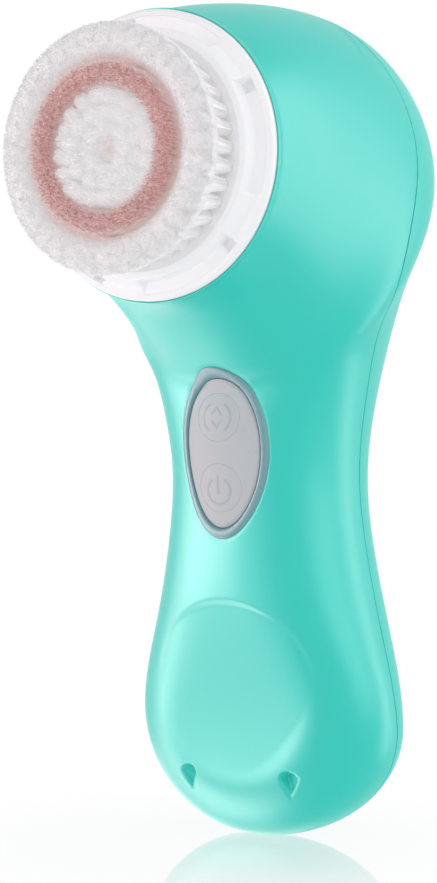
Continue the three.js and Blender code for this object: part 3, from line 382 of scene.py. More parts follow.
# What is sunk into the front. The flat face takes away all that stands out of it by more than soft, and
# (deeper + soft)^2 / (4 soft) of what is nearer, so that it starts gently; least comes off everywhere inside
# the oval, whose edge is crisp at the top and runs out smoothly below. Then the two notches, steep towards
# the middle and shallow outwards, and the recess with a fine groove round the bezel.
def frontFeatures(p):
    x, y, z = p[..., 0], p[..., 1], p[..., 2]
    f, g, k = chargerFace, notches, keyPad
    ahead = y < 0
    soft, least = f["soft"], f["least"] * step(*f["leastFade"], z)
    deeper = flatDepth(z) - y - least
    cut = np.where(deeper > soft, deeper, np.maximum(deeper + soft, 0) ** 2 / (4 * soft)) + least
    edge = blendTo(f["lowEdge"], f["edge"], step(*f["lowSpan"], z)) / 2
    cut = cut * step(*f["fade"], z) * (1 - step(-edge, edge, ovalDistance(x, z)))
    y = np.where(ahead, y + cut, y)
    far = np.abs(x) - g["x"]
    wide = np.where(far > 0, far / g["wide"], far)
    hollow = 1 - step(*g["edge"], notchDistance(g["x"] + wide, z))
    rise = np.clip((far + g["level"]) / (g["radius"] * g["wide"]), 0, 1)
    floor = y + (g["floor"] - y) * (1 - g["shallow"] * rise)
    y = np.where(ahead, y + np.maximum(floor - y, 0) * hollow, y)
    outline = (eggShare(k["bezel"], x, z) - 1) * k["outline"]
    place, width, depth = k["groove"]
    groove = depth * np.exp(-((outline - place) / width) ** 2)
    recess = k["recess"] * (1 - step(*k["recessEdge"], outline))
    near = ahead & (np.abs(z - k["centre"]) < k["reach"])
    y = np.where(near, y + np.maximum(groove, recess), y)
    return np.stack([x, y, z], -1)


# A wire is one shader socket. Arithmetic on wires and numbers adds Math nodes.
class Wire:
    def __init__(self, recipe, socket):
        self.recipe, self.socket = recipe, socket

    def math(self, operation, *values):
        return self.recipe.add("Math", {"operation": operation}, values)

    def __add__(self, other):
        return self.math("ADD", self, other)

    def __radd__(self, other):
        return self.math("ADD", other, self)

    def __sub__(self, other):
        return self.math("SUBTRACT", self, other)

    def __rsub__(self, other):
        return self.math("SUBTRACT", other, self)

    def __mul__(self, other):
        return self.math("MULTIPLY", self, other)

    def __rmul__(self, other):
        return self.math("MULTIPLY", other, self)

    def sqrt(self):
        return self.math("SQRT", self)

    def least(self, other):
        return self.math("MINIMUM", self, other)

    # The span a to b brought to the span c to d, and held there.
    def mapped(self, a, b, c=0.0, d=1.0, smoothly=True):
        kind = "SMOOTHSTEP" if smoothly else "LINEAR"
        return self.recipe.add("MapRange", {"interpolation_type": kind}, {0: self, 1: a, 2: b, 3: c, 4: d})


# A material or world, built up node by node.
class Recipe:
    def __init__(self, name, kind="materials"):
        self.material = getattr(bpy.data, kind).new(name)
        self.material.use_nodes = True
        self.tree = self.material.node_tree
        self.tree.nodes.clear()

    # One node: its type, its settings, then the values or wires of its sockets by name or number.
    def add(self, kind, settings=None, inputs=(), out=0):
        node = self.tree.nodes.new("ShaderNode" + kind)
        for key, value in (settings or {}).items():
            setattr(node, key, value)
        for key, value in inputs.items() if isinstance(inputs, dict) else enumerate(inputs):
            if isinstance(value, Wire):
                self.tree.links.new(value.socket, node.inputs[key])
            else:
                node.inputs[key].default_value = value
        return Wire(self, node.outputs[out]) if len(node.outputs) else None

    def place(self, kind="Object"):
        return self.add("TexCoord", out=kind)

    # 1 for rays from the camera, off a gloss or through glass, 0 for rays that light matt surfaces.
    def seen(self):
        rays = [self.add("LightPath", out=name) for name in ("Is Camera Ray", "Is Glossy Ray", "Is Transmission Ray")]
        return (rays[0] + rays[1] + rays[2]).least(1.0)

    def split(self, vector):
        first = self.add("SeparateXYZ", {}, (vector,))
        return [Wire(self, socket) for socket in first.socket.node.outputs]

    def noise(self, scale, detail=2.0, rough=0.5, vector=None):
        vector = vector or self.place()
        return self.add("TexNoise", {}, {"Vector": vector, "Scale": scale, "Detail": detail, "Roughness": rough})

    def mixColour(self, share, a, b, blend="MIX"):
        return self.add("Mix", {"data_type": "RGBA", "blend_type": blend}, {0: share, 6: a, 7: b}, out=2)

    def bump(self, height, strength, distance):  # distance in mm
        return self.add("Bump", {}, {"Strength": strength, "Distance": distance * mm, "Height": height})

    def surface(self, **values):
        names = {"colour": "Base Color", "roughness": "Roughness", "metallic": "Metallic", "normal": "Normal",
                 "coat": "Coat Weight", "ior": "IOR", "specular": "Specular IOR Level",
                 "scatter": "Subsurface Weight", "radius": "Subsurface Radius", "scatterScale": "Subsurface Scale",
                 "glow": "Emission Color", "glowStrength": "Emission Strength"}
        return self.add("BsdfPrincipled", {}, {names[key]: value for key, value in values.items()})

    def finish(self, shader, kind="Material"):
        self.add("Output" + kind, {}, {"Surface": shader})
        return self.material


# sRGB numbers of 0 to 255 as a linear colour: c / 12.92 up to 0.04045, above it ((c + 0.055) / 1.055)^2.4.
def colour(*tone):
    c = np.array(tone) / 255
    return (*np.where(c > 0.04045, ((c + 0.055) / 1.055) ** 2.4, c / 12.92).tolist(), 1.0)


def scaled(tone, share):
    return (*[min(1.0, c * share) for c in tone[:3]], 1.0)


plastic = {"driftScale": 55.0, "glossScale": 900.0, "glossSpread": 0.08, "bump": 0.05}
# The third colour is painted shade for the pressed-in lines of the keys' signs, and the share after it how much of it
# they take.
softTouch = {"low": colour(192, 193, 198), "high": colour(202, 203, 207), "signShade": colour(150, 151, 156),
             "signShadeShare": 0.42, "driftScale": 60.0, "grainScale": 6000.0, "grain": 0.05, "roughness": 0.5,
             "ior": 1.16}
turned = {"scale": 2500.0, "dark": 0.86, "glossSpread": 0.16, "strength": 0.08, "bump": 0.03}


# Roughness round a middle value, by the spread that plastic has.
def varied(r, roughness):
    return r.noise(plastic["glossScale"]) * plastic["glossSpread"] + (roughness - plastic["glossSpread"] / 2)


# Moulded plastic: colour drifts a little, gloss varies, and a fine grain takes the sharpness off.
# grainSize is in mm.
def moulded(name, tone, roughness, drift=0.03, grain=0.03, grainSize=0.25, **more):
    r = Recipe(name)
    base = r.mixColour(r.noise(plastic["driftScale"], 3.0), scaled(tone, 1 - drift), scaled(tone, 1 + drift))
    gloss = varied(r, roughness)
    normal = r.bump(r.noise(1.0 / (grainSize * mm)), grain, plastic["bump"])
    return r.finish(r.surface(colour=base, roughness=gloss, normal=normal, **more))


# Soft-touch pad: fine grain, a slow drift of tone, and painted shade: darker lines where the sign's attribute is set,
# in the pressed-in lines of the keys' signs.
def softPad():
    f = softTouch
    r = Recipe("greyPad")
    base = r.mixColour(r.noise(f["driftScale"]), f["low"], f["high"])
    signShade = r.add("Attribute", {"attribute_name": "signShade"}, out=2)
    # Painted shade along the signs' pressed-in lines.
    base = r.mixColour(signShade * f["signShadeShare"], base, f["signShade"])
    normal = r.bump(r.noise(f["grainScale"]), f["grain"], plastic["bump"])
    return r.finish(r.surface(colour=base, roughness=varied(r, f["roughness"]), normal=normal, ior=f["ior"]))


# Metal: fine streaks, stretched by along, that change tone and gloss together.
def metal(name, tone, roughness, along=(1, 1, 1)):
    f = turned
    r = Recipe(name)
    streaks = r.noise(f["scale"], 3.0, 0.6, r.add("Mapping", {}, {0: r.place(), 3: along}))
    base = r.mixColour(streaks, scaled(tone, f["dark"]), tone)
    gloss = streaks * f["glossSpread"] + (roughness - f["glossSpread"] / 2)
    normal = r.bump(streaks, f["strength"], f["bump"])
    return r.finish(r.surface(colour=base, roughness=gloss, metallic=1.0, normal=normal))


view = {
    "target": (0.0, 0.0, 70.645),
    "azimuth": 31.06,
    "elevation": 0.494,
    "distance": 443.28,
    "frame": (437, 883),  # px
    "focal": 2450.84,
    "centreX": 273.0,
    "sensor": 36.0,
    "clip": (0.02, 20.0),
}


# Puts a camera or lamp at a distance from aim, at an azimuth from the brush's side towards +X and an
# elevation in degrees, looking back at aim.
def aimed(name, data, aim, azimuth, elevation, distance):
    a, e = math.radians(azimuth), math.radians(elevation)
    towards = Vector((math.sin(a) * math.cos(e), -math.cos(a) * math.cos(e), math.sin(e)))
    placed = linked(name, data)
    placed.location = aim + towards * distance
    placed.rotation_mode = "QUATERNION"
    placed.rotation_quaternion = (-towards).to_track_quat("-Z", "Y")
    return placed


def makeCamera():
    f = view
    width, height = f["frame"]
    data = bpy.data.cameras.new("photoCamera")
    data.sensor_fit = "VERTICAL"
    data.sensor_height = data.sensor_width = f["sensor"]
    data.lens = f["focal"] * f["sensor"] / height
    data.shift_x = -(f["centreX"] - width / 2) / height
    data.clip_start, data.clip_end = f["clip"]
    target = Vector(tuple(np.array(f["target"]) + shift)) * mm
    camera = aimed("photoCamera", data, target, f["azimuth"], f["elevation"], f["distance"] * mm)
    bpy.context.scene.camera = camera


makeCamera()
print("camera: placed")

finish = {
    "shell": moulded("aquaShell", colour(50, 206, 193), 0.36, 0.012, 0.015, 0.3, ior=1.38),
    "gasket": moulded("tealGasket", colour(24, 92, 86), 0.6),
    "bezel": moulded("smokeBezel", colour(121, 161, 167), 0.34, 0.04, 0.01, 0.3, ior=1.3),
    "collar": moulded("whiteCollar", colour(250, 250, 252), 0.45, 0.01, 0.015, 0.3, ior=1.2),
    "pad": softPad(),
    "dark_plastic": moulded("darkPlastic", colour(46, 49, 54), 0.55),
    "seal_rubber": moulded("blackRubber", colour(32, 34, 36), 0.75),
    "board": moulded("greenBoard", colour(28, 92, 58), 0.5),
    "cell": moulded("blueCell", colour(60, 108, 176), 0.42, 0.03, 0.02, 0.4, coat=0.3),
    "ferrite": moulded("greyFerrite", colour(58, 58, 60), 0.85, 0.08, 0.2, 0.15),
    "lamp": moulded("clearLamp", colour(242, 242, 230), 0.3),
    "steel": metal("turnedSteel", colour(188, 190, 194), 0.3),
    "magnet": metal("platedMagnet", colour(150, 152, 156), 0.32),
    "iron": metal("stackedIron", colour(96, 100, 104), 0.45, (1, 30, 1)),
    "copper": metal("woundCopper", colour(186, 108, 62), 0.35, (8, 1, 8)),
}
nodeFinish = {
    "steel": ["drive_shaft", "retaining_ring", "front_bearing", "rear_bearing", "chassis_screw_1",
              "chassis_screw_2", "chassis_screw_3", "chassis_screw_4", "board_screw_1", "board_screw_2"],
    "magnet": ["magnet_left", "magnet_right", "docking_magnet"],
    "iron": ["stator_core"],
    "copper": ["stator_coil", "charging_coil"],
    "seal_rubber": ["adapter_seal", "shaft_seal"],
    "gasket": ["housing_seal"],
    "board": ["circuit_board"],
    "cell": ["battery"],
    "ferrite": ["ferrite_shield"],
    "lamp": ["status_led"],
    "collar": ["brush_adapter", "brush_plate", "drive_socket"],
    "dark_plastic": ["drive_hub", "motor_chassis", "armature_arm", "battery_cradle", "speed_switch",
                     "power_switch", "motor_driver_chip"],
}
for slotName, nodeNames in nodeFinish.items():
    for nodeName in nodeNames:
        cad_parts[nodeName].data.materials.clear()
        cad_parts[nodeName].data.materials.append(finish[slotName])
print("finishes: made")


frontGrid = {
    "heights": [(6.5, 14.0, 0.17), (14.0, 44.5, 0.34), (52.0, 85.0, 0.32)],  # from, to, spacing of rows in mm
    "elsewhere": 1.15,
    "rearSpacing": 1.6,
    "columns": [(0.0, 0.38, 31), (0.38, 0.68, 36), (0.68, 0.83, 10)],  # share of the half width: from, to, count
    "sideColumns": 34,
    "probes": 9001,
    "crowd": (9, 0.09, 0.03),  # rows at each end of the seam, and their reach in u at the top and the bottom
    "clear": 0.004,  # other rows keep this far from those
}


# Rows at the spacing that each height asks for, measured along the front and the rear rail.
def rowPlaces():
    f = frontGrid
    u = np.linspace(0, endU, f["probes"])
    front, rear = skin(u, np.full(u.shape, -math.pi / 2)), skin(u, np.full(u.shape, math.pi / 2))
    z = (front[1:, 2] + front[:-1, 2]) / 2
    spacing = np.full(z.shape, f["elsewhere"])
    for low, high, gap in f["heights"]:
        spacing[(z > low) & (z < high)] = gap
    need = np.maximum(
        np.linalg.norm(np.diff(front, axis=0), axis=1) / spacing,
        np.linalg.norm(np.diff(rear, axis=0), axis=1) / f["rearSpacing"],
    )
    total = np.concatenate([[0], np.cumsum(need)])
    return np.interp(np.linspace(0, total[-1], int(total[-1]) + 1), total, u)


# Rows crowd towards the seam's top and bottom, where its sides open like a square root.
def rowsWithEnds(rows, ends):
    count, reachTop, reachBottom = frontGrid["crowd"]
    share = np.linspace(0, 1, count) ** 2
    extra = np.concatenate([ends[0] + share * reachTop, ends[1] - share * reachBottom])
    clear = np.min(np.abs(rows[:, None] - extra[None, :]), 1) > frontGrid["clear"]
    return np.unique(np.concatenate([rows[clear], extra]))


# The right half of the skin from the middle of the front to the seam, with its sunk features, and mirrored;
# then the seam's edge and the well.
def frontShell():
    columns = frontGrid["columns"]
    offset = -(body["seamGap"] / 2 + body["seamRound"])
    rows = rowsWithEnds(rowPlaces(), seamEnds(offset))
    rows = np.unique(np.concatenate([rows[rows < endU], [endU]]))
    seam, isOpen = seamAt(rows, offset)
    widths = np.concatenate([np.linspace(a, b, n, endpoint=False) for a, b, n in columns] + [[columns[-1][1]]])
    power = sectionAt(rows)["power"][:, None]
    inner = -np.arccos(np.clip(widths[None, :] ** (power / 2), 0, 1))
    start = inner[0, -1]
    share = np.linspace(0, 1, frontGrid["sideColumns"] + 1)[1:]
    atKey = np.radians(well["keyColumns"])
    share = np.unique(np.concatenate([share, (atKey - start) / (math.pi / 2 - start)]))
    v = np.concatenate([inner, blendTo(inner[:, -1:], seam[:, None], share[None, :])], 1)
    right = skin(np.repeat(rows[:, None], v.shape[1], 1), v)
    right[:, 0, 0] = 0
    right[~isOpen, -1, 0] = 0
    right = frontFeatures(right)
    shape = Shape().grid(np.concatenate([mirrored(right)[:, :0:-1], right], 1), flip=True)
    addSeam(shape, rows[isOpen], seam[isOpen], right[isOpen, -1], 1.0)
    return shape.grid(wellPoints(np.concatenate([(-math.pi - v[0])[:0:-1], v[0]])))


# The seam's edge rolls over by a quarter round and goes in through the wall; the loop runs down the right
# side and up the left. towards is 1 where the other shell lies behind and -1 where it lies in front.
def addSeam(shape, u, v, right, towards):
    r, wall = body["seamRound"], body["wall"]
    n = skinNormal(u, v)
    loop = np.concatenate([right, mirrored(right)[::-1]])
    n = np.concatenate([n, mirrored(n)[::-1]])
    along = unit(np.roll(loop, -1, 0) - np.roll(loop, 1, 0))
    n = unit(n - (n * along).sum(-1, keepdims=True) * along)
    d = np.cross(n, along)
    d *= np.sign(d[:, 1:2] * towards + tiny)
    ring = [loop + r * (n * (math.cos(t) - 1) + d * math.sin(t)) for t in np.radians([0, 22.5, 45, 67.5, 90])]
    ring += [ring[-1] - n * k * (wall - r) for k in (0.3, 1.0)]
    shape.grid(np.stack(ring), closeCols=True, flip=towards > 0)


rimLine = {"high": 0.95, "wide": 0.26, "out": 0.07, "round": 0.25}  # the thin lip that stands round the collar
well = {
    "radius": 22.0, "depth": 7.0, "soft": 0.15,
    "keys": (-90.0, 30.0, 150.0), "reach": 23.3, "keyHalf": 2.5, "keyRoom": 1.03, "keyDepth": 5.8,
    "keyColumns": (23.5, 23.8, 36.2, 36.5),  # angles of the grid's columns at the sides of the right keyway
    "pocket": 9.0, "pocketDepth": 9.2, "bore": 6.0, "back": 12.5,
}


# The rim's thin lip and round edge, the seat, the well with its keyways, the hub's pocket and the shaft's hole:
# one profile of radius and depth carried round the brush axis, with a wall further out inside each keyway.
def wellPoints(angles):
    w, f = well, rimLine
    off = np.degrees(angles)[:, None] - np.array(w["keys"])[None, :]
    off = np.radians(np.min(np.abs((off + 180) % 360 - 180), 1))
    inKey = np.abs(w["reach"] * np.tan(off)) < w["keyHalf"] * w["keyRoom"]
    wall = np.where(inKey, w["reach"] / np.cos(off), w["radius"])
    high, half, soft, out = f["high"], f["wide"] / 2, w["soft"], rimRadius + f["out"]
    outward, inward = np.radians([0, 20, 40, 60, 80, 90]), np.radians([30, 60, 90])
    profile = [(rimRadius, -rimLip), (out - 0.03, -rimLip + 0.1), (out, 0.2)]
    profile += [(out - half * (1 - math.cos(t)), high - f["round"] * (1 - math.sin(t))) for t in outward]
    profile += [(out - half * (1 + math.sin(t)), high - half * (1 - math.cos(t))) for t in inward]
    profile += [(out - f["wide"], 0.05), (out - f["wide"] - 0.05, 0.0)]
    profile += [(wall + 0.12, 0.0), (wall + 0.03, -0.03), (wall, -0.12), (wall, -w["keyDepth"])]
    profile += [(w["radius"], -w["keyDepth"]), (w["radius"], soft - w["depth"]), (w["radius"] - soft, -w["depth"])]
    profile += [(w["pocket"] + soft, -w["depth"]), (w["pocket"], -w["depth"] - soft)]
    profile += [(w["pocket"], -w["pocketDepth"]), (w["bore"], -w["pocketDepth"]), (w["bore"], -w["back"])]
    return np.stack([roundAxis(radius, depth, angles) for radius, depth in profile])


rearGrid = {"rows": 260, "columns": 61, "crowd": (60, 0.3, 0.2)}  # crowd as in frontGrid


# The right half of the skin from the middle of the back to the seam, mirrored, and the seam's edge.
def rearShell():
    offset = body["seamGap"] / 2 + body["seamRound"]
    top, bottom = seamEnds(offset)
    count, reachTop, reachBottom = rearGrid["crowd"]
    share = np.linspace(0, 1, count) ** 2
    plain = top + (bottom - top) * np.linspace(0, 1, rearGrid["rows"])
    rows = np.unique(np.concatenate([plain, top + share * reachTop, bottom - share * reachBottom]))
    seam = seamAt(rows, offset)[0]
    v = math.pi / 2 - (math.pi / 2 - seam[:, None]) * np.linspace(0, 1, rearGrid["columns"])[None, :]
    right = skin(np.repeat(rows[:, None], v.shape[1], 1), v)
    right[:, 0, 0] = 0
    right[[0, -1], :, 0] = 0
    shape = Shape().grid(np.concatenate([mirrored(right)[:, :0:-1], right], 1))
    addSeam(shape, rows, seam, right[:, -1], -1.0)
    return shape


frontPiece = frontShell().made("frontShell", "housing", finish["shell"], "shell", sharp=50)
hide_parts("front_housing")
rearPiece = rearShell().made("rearShell", "housing", finish["shell"], "shell", sharp=50)
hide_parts("rear_housing")
print("shells: made")


bezelForm = {
    "section": [(0.0, 2.3), (0.0, 0.3), (0.0, 0.02), (0.05, -0.14), (0.14, -0.27), (0.28, -0.36), (0.45, -0.4),
                (0.6, -0.4), (0.74, -0.34), (0.86, -0.22), (0.95, -0.04), (1.0, 0.15), (1.0, 2.3)],
    "around": 240,
    "gap": 0.12,  # between bezel and pad
}


# A closed section, share of the way inwards and depth in mm, carried round the egg on the body's surface.
def bezelRing():
    t = np.linspace(0, turn, bezelForm["around"], endpoint=False)
    ox, oz = egg(keyPad["bezel"], t)
    ix, iz = egg(keyPad["pad"], t, bezelForm["gap"])
    rows = []
    for across, depth in bezelForm["section"]:
        x, z = blendTo(ox, ix, across), blendTo(oz, iz, across)
        rows.append(np.stack([x, frontDepth(x, z) + depth, z], -1))
    return Shape().grid(np.stack(rows), closeRows=True, closeCols=True)


padForm = {"edge": 0.25, "middle": 0.85, "hole": 4.25, "holeWall": (0.12, 1.6), "fallFrom": 0.93, "fall": 0.32,
           "rays": 97, "divideRays": 33, "steps": 26, "farthest": (20.0, 30.0)}
keyForm = {"radius": 4.23, "dome": 0.3, "round": 0.05, "stem": 1.9, "stemLength": 2.6, "rays": 160, "steps": 44,
           "under": 1.9, "faceBack": 0.3}
keyMarks = {"line": 0.2, "depth": 0.07, "arc": 2.75, "arcSpan": (54.0, 62.0), "peak": 1.85, "slope": 1.35,
            "wingSpan": (0.9, 1.15), "ring": 2.3, "ringSpan": (28.0, 36.0), "ringDrop": -0.55, "bar": (-0.5, 2.5)}


def padRise(k):  # how far the pad stands out of the body
    return padForm["edge"] + padForm["middle"] * (1 - k * k)


# Each half of the pad is a fan from a key's hole out to the egg or to the line between the keys. It stands
# out by padRise, and near the egg it falls off by the square of a smooth step.
def padShape():
    f, size = padForm, keyPad["pad"]
    shape = Shape()
    divide = (keyPad["speedZ"] + keyPad["powerZ"]) / 2
    for centreZ, side in ((keyPad["speedZ"], 1), (keyPad["powerZ"], -1)):

        def pastEgg(reach):
            return eggShare(size, reach, divide) > 1

        def pastEdge(reach):
            x, z = reach * dx, centreZ + reach * dz
            return (eggShare(size, x, z) > 1) | ((z - divide) * side < 0)

        cornerX = halved(pastEgg, 0.0, f["farthest"][0])
        corner = math.atan2(cornerX, abs(divide - centreZ))  # its angle from the line straight to the divide
        t = [np.linspace(-corner, corner, f["divideRays"]), np.linspace(corner, turn - corner, f["rays"])]
        t = np.unique(np.concatenate(t))
        dx, dz = np.sin(t), -side * np.cos(t)
        reach = halved(pastEdge, np.zeros(len(t)), np.full(len(t), f["farthest"][1]))
        radius = f["hole"] + (reach[None, :] - f["hole"]) * np.linspace(0, 1, f["steps"])[:, None]
        x, z = radius * dx[None, :], centreZ + radius * dz[None, :]
        k = np.minimum(eggShare(size, x, z), 1)
        y = frontDepth(x, z) - padRise(k) + f["fall"] * step(f["fallFrom"], 1.0, k) ** 2
        face = np.stack([x, y, z], -1)
        shape.grid(face, flip=side > 0)
        shape.grid(np.stack([face[0] + np.array([0, deep, 0]) for deep in (0, *f["holeWall"])]), flip=side < 0)
        skirt = face[-1][t >= corner - tiny]
        back = skirt.copy()
        back[:, 1] = frontDepth(skirt[:, 0], skirt[:, 2]) + keyPad["back"]
        shape.grid(np.stack([skirt, back]), flip=side > 0)
    return shape


# 1 on the lines of a key's sign and 0 off them, by exp(-(distance / line)^2); x and z are counted from the
# key's middle. The upper key has two arcs round an up and a down chevron, the lower one a ring open at the
# top with an upright bar.
def keySign(x, z, upper):
    f = keyMarks

    def line(away):
        return np.exp(-((away / f["line"]) ** 2))

    if upper:
        lean = np.degrees(np.arctan2(np.abs(z), np.abs(x)))
        arcs = line(np.hypot(x, z) - f["arc"]) * (1 - step(*f["arcSpan"], lean))
        chevrons = line((np.abs(z) - f["peak"] + f["slope"] * np.abs(x)) / math.hypot(1, f["slope"]))
        return np.maximum(arcs, chevrons * (1 - step(*f["wingSpan"], np.abs(x))))
    z = z - f["ringDrop"]
    lean = np.degrees(np.arctan2(np.abs(x), z))
    ring = line(np.hypot(x, z) - f["ring"]) * step(*f["ringSpan"], lean)
    low, high = f["bar"]
    return np.maximum(ring, line(np.hypot(x, np.maximum(np.maximum(low - z, z - high), 0))))


def middleDepth(z):
    return frontDepth(np.zeros(1), np.array([z]))[0]


# A disc domed by 1 - (radius / outer radius)^2 over the pad's own form, with a rounded edge and its sign
# pressed in, its wall, and a stem behind it.
def keyShape(centreZ, upper):
    f = keyForm
    t = np.linspace(0, turn, f["rays"], endpoint=False)
    bend = np.radians([25, 50, 70, 90])
    flat = f["radius"] - f["round"]
    radius = np.concatenate([np.linspace(0, flat, f["steps"]), flat + f["round"] * np.sin(bend)])[:, None]
    drop = np.concatenate([np.zeros(f["steps"]), f["round"] * (1 - np.cos(bend))])[:, None]
    x, z = radius * np.sin(t)[None, :], centreZ + radius * np.cos(t)[None, :]
    k = np.minimum(eggShare(keyPad["pad"], x, z), 1)
    y = frontDepth(x, z) - padRise(k) - f["dome"] * (1 - (radius / f["radius"]) ** 2) + drop
    y += keyMarks["depth"] * keySign(x, z - centreZ, upper)
    rings = list(np.stack([x, y, z], -1))
    behind = middleDepth(centreZ) + f["under"]
    under = rings[-1].copy()
    under[:, 1] = behind
    rings.append(under)
    for wide, deep in ((f["stem"], 0.0), (f["stem"], f["stemLength"]), (0.0, f["stemLength"])):
        rings.append(np.stack([wide * np.sin(t), np.full(t.shape, behind + deep), centreZ + wide * np.cos(t)], -1))
    return Shape().grid(np.stack(rings), closeCols=True, flip=True)


# The attribute carries the sign to the pad's material, which paints shade along its pressed-in lines.
def makeKey(name, body, centreZ, upper, node):
    piece = keyShape(centreZ, upper).made(name, body, finish["pad"], "pad", sharp=60)
    points = np.empty(len(piece.data.vertices) * 3, np.float32)
    piece.data.vertices.foreach_get("co", points)
    x, y, z = (points.reshape(-1, 3) / mm - shift).T
    front = y < middleDepth(centreZ) + keyForm["faceBack"]
    signShade = piece.data.attributes.new("signShade", "FLOAT", "POINT")
    signShade.data.foreach_set("value", (keySign(x, z - centreZ, upper) * front).astype(np.float32))
    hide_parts(node)


bezelPiece = bezelRing().made("keyBezel", "housing", finish["bezel"], "bezel", sharp=60)
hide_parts("button_bezel")
padPiece = padShape().made("keyPad", "housing", finish["pad"], "pad", sharp=50)
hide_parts("button_pad")
makeKey("speedKey", "speed_key", keyPad["speedZ"], True, "speed_button")
makeKey("powerKey", "power_key", keyPad["powerZ"], False, "power_button")
print("keys: made")


collar = {
    "radius": 24.35, "inside": 19.45, "bore": 15.7, "floor": 4.55, "back": 0.3, "side": 1.6, "sideRound": 0.6,
    "face": [(23.3, 2.3), (23.22, 2.32), (23.1, 2.35), (22.72, 2.44), (22.6, 2.47), (22.48, 2.53), (22.3, 2.6),
             (22.1, 2.9), (21.7, 3.6), (21.3, 4.3), (21.1, 4.62), (20.98, 4.8), (20.92, 4.84), (20.86, 4.93),
             (20.76, 4.98), (20.64, 5.0), (19.68, 5.0), (19.52, 4.96), (19.45, 4.84)],  # radius and height
    "pockets": 5, "arc": 51.0, "start": -20.0, "soft": 0.6, "pocketSpan": (20.95, 23.2), "pocketFloor": 2.15,
    "slotEnds": (5.8, 1.2),  # degrees before the pocket's end
    "slotSpan": (21.05, 22.75), "slotFloor": 1.0,
}


# One closed profile carried round the axis; inside a pocket's arc what lies above its floor comes down, and
# inside its slot it comes down further.
def collarShape():
    c = collar
    soft, arc = c["soft"], c["arc"]
    slot = [arc - before for before in c["slotEnds"]]
    starts = c["start"] + 360.0 / c["pockets"] * np.arange(c["pockets"])
    spots = (starts[:, None] + np.array([0.0, arc, *slot])[None, :]).ravel()
    edges = (spots[:, None] + soft * np.linspace(-1, 1, 7)[None, :]).ravel()
    deg = np.unique(np.round(np.concatenate([np.arange(0, 360, 1.5), edges % 360]), 4))
    into = (deg[:, None] - starts[None, :]) % 360
    into = np.where(into > 200, into - 360, into)  # just before a pocket counts as negative

    def within(low, high):
        return (step(low - soft, low + soft, into) * (1 - step(high - soft, high + soft, into))).max(1)

    inPocket, inSlot = within(0.0, arc), within(*slot)
    outside, side, bend, floor = c["radius"], c["side"], c["sideRound"], c["floor"]
    profile = [(c["bore"], c["back"]), (outside - 0.2, c["back"]), (outside, c["back"] + 0.2), (outside, side - 0.05)]
    turns = np.radians([10, 30, 50, 70, 90])
    profile += [(outside - bend * (1 - math.cos(t)), side + bend * math.sin(t)) for t in turns]
    profile += c["face"] + [(c["inside"], floor + 0.05), (c["inside"] - 0.05, floor)]
    profile += [(c["bore"] + 0.1, floor), (c["bore"], floor - 0.1)]
    rows = []
    for radius, height in profile:
        depth = np.full(deg.shape, float(height))
        if c["pocketSpan"][0] < radius < c["pocketSpan"][1]:
            depth = blendTo(depth, np.minimum(depth, c["pocketFloor"]), inPocket)
        if c["slotSpan"][0] < radius < c["slotSpan"][1]:
            depth = blendTo(depth, c["slotFloor"], inSlot)
        rows.append(roundAxis(radius, depth, np.radians(deg)))
    return Shape().grid(np.stack(rows), closeRows=True, closeCols=True, flip=True)


collarPiece = collarShape().made("brushCollar", "brush_head", finish["collar"], "collar", sharp=48)
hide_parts("brush_collar")
print("collar: made")

random = np.random.default_rng(20260417)
bristle = {
    "root": 3.3, "thick": 0.055, "thin": 0.034, "sides": 3,
    "corner": 0.55,  # power that rounds the corners of a tuft's patch
    "fullAt": 0.84,  # share of the way up at which a tuft is at its full width
    "flare": 0.6,  # how much of its way outwards comes late, by a square
    "bow": 0.05, "stray": 0.07, "shorter": 12.0,  # a filament ends short by the row's roughness over shorter
    "coreTop": 0.87, "coreRise": 0.03, "coreSides": 24, "coreRows": 10, "coreOver": (0.98, 0.9, 0.7, 0.4, 0.0),
}
outerRow = {"base": 17.3, "tufts": 36, "foot": 1.05, "tip": (16.7, 20.65), "phase": 0.0, "core": 0.95, "root": 4.5,
            "side": 66, "faces": (-0.12, 0.62)}
middleRow = {"base": 15.25, "tufts": 36, "foot": 0.85, "tip": (14.6, 17.2), "phase": 0.5, "core": 0.97, "root": 4.5,
             "side": 30, "faces": (0.4, 1.1)}
whiteTop = {"low": 14.5, "high": 20.75, "height": 16.2, "fall": 1.5, "power": 2.2, "rough": 0.09, "length": 2.2,
            "lean": 0.15, "stray": 0.07, "under": 0.25, "depth": 1.6, "skirt": (14.15, 9.0)}
pinkRow = {"base": 12.3, "tufts": 30, "foot": 1.2, "tip": (10.4, 13.9), "phase": 0.0, "core": 0.95, "side": 78}
pinkTop = {"low": 10.2, "high": 14.15, "height": 17.2, "fall": 0.75, "power": 2.4, "rough": 0.4, "length": 3.6,
           "lean": 0.4, "stray": 0.2, "under": 0.75, "depth": 4.5, "skirt": (10.7, 12.5)}
centreRows = [
    {"base": 8.6, "tufts": 21, "foot": 0.9, "spread": 1.42, "phase": 0.0, "core": 0.95, "side": 40, "top": 170},
    {"base": 6.0, "tufts": 14, "foot": 0.9, "spread": 1.5, "phase": 0.5, "core": 0.95, "side": 36, "top": 170},
    {"base": 3.4, "tufts": 8, "foot": 0.9, "spread": 1.55, "phase": 0.0, "core": 0.95, "side": 36, "top": 170,
     "lean": 0.2},
    {"base": 0.0, "tufts": 1, "foot": 1.2, "spread": 2.0, "phase": 0.0, "core": 0.95, "side": 60, "top": 260,
     "drop": 1.1},
]
centreTop = {"height": 17.2, "fall": 1.5, "power": 2.4, "rough": 0.16, "uneven": 0.75, "sway": 0.45, "topFrom": 0.84,
             "wide": 1.06, "spin": (12.9, 7.7, 5.3)}  # spin gives each tuft its own height and sway
cushion = {"steps": 220, "rows": 15, "inset": 0.6, "edge": (0.05, 0.3), "taper": 0.05, "uneven": 0.012}


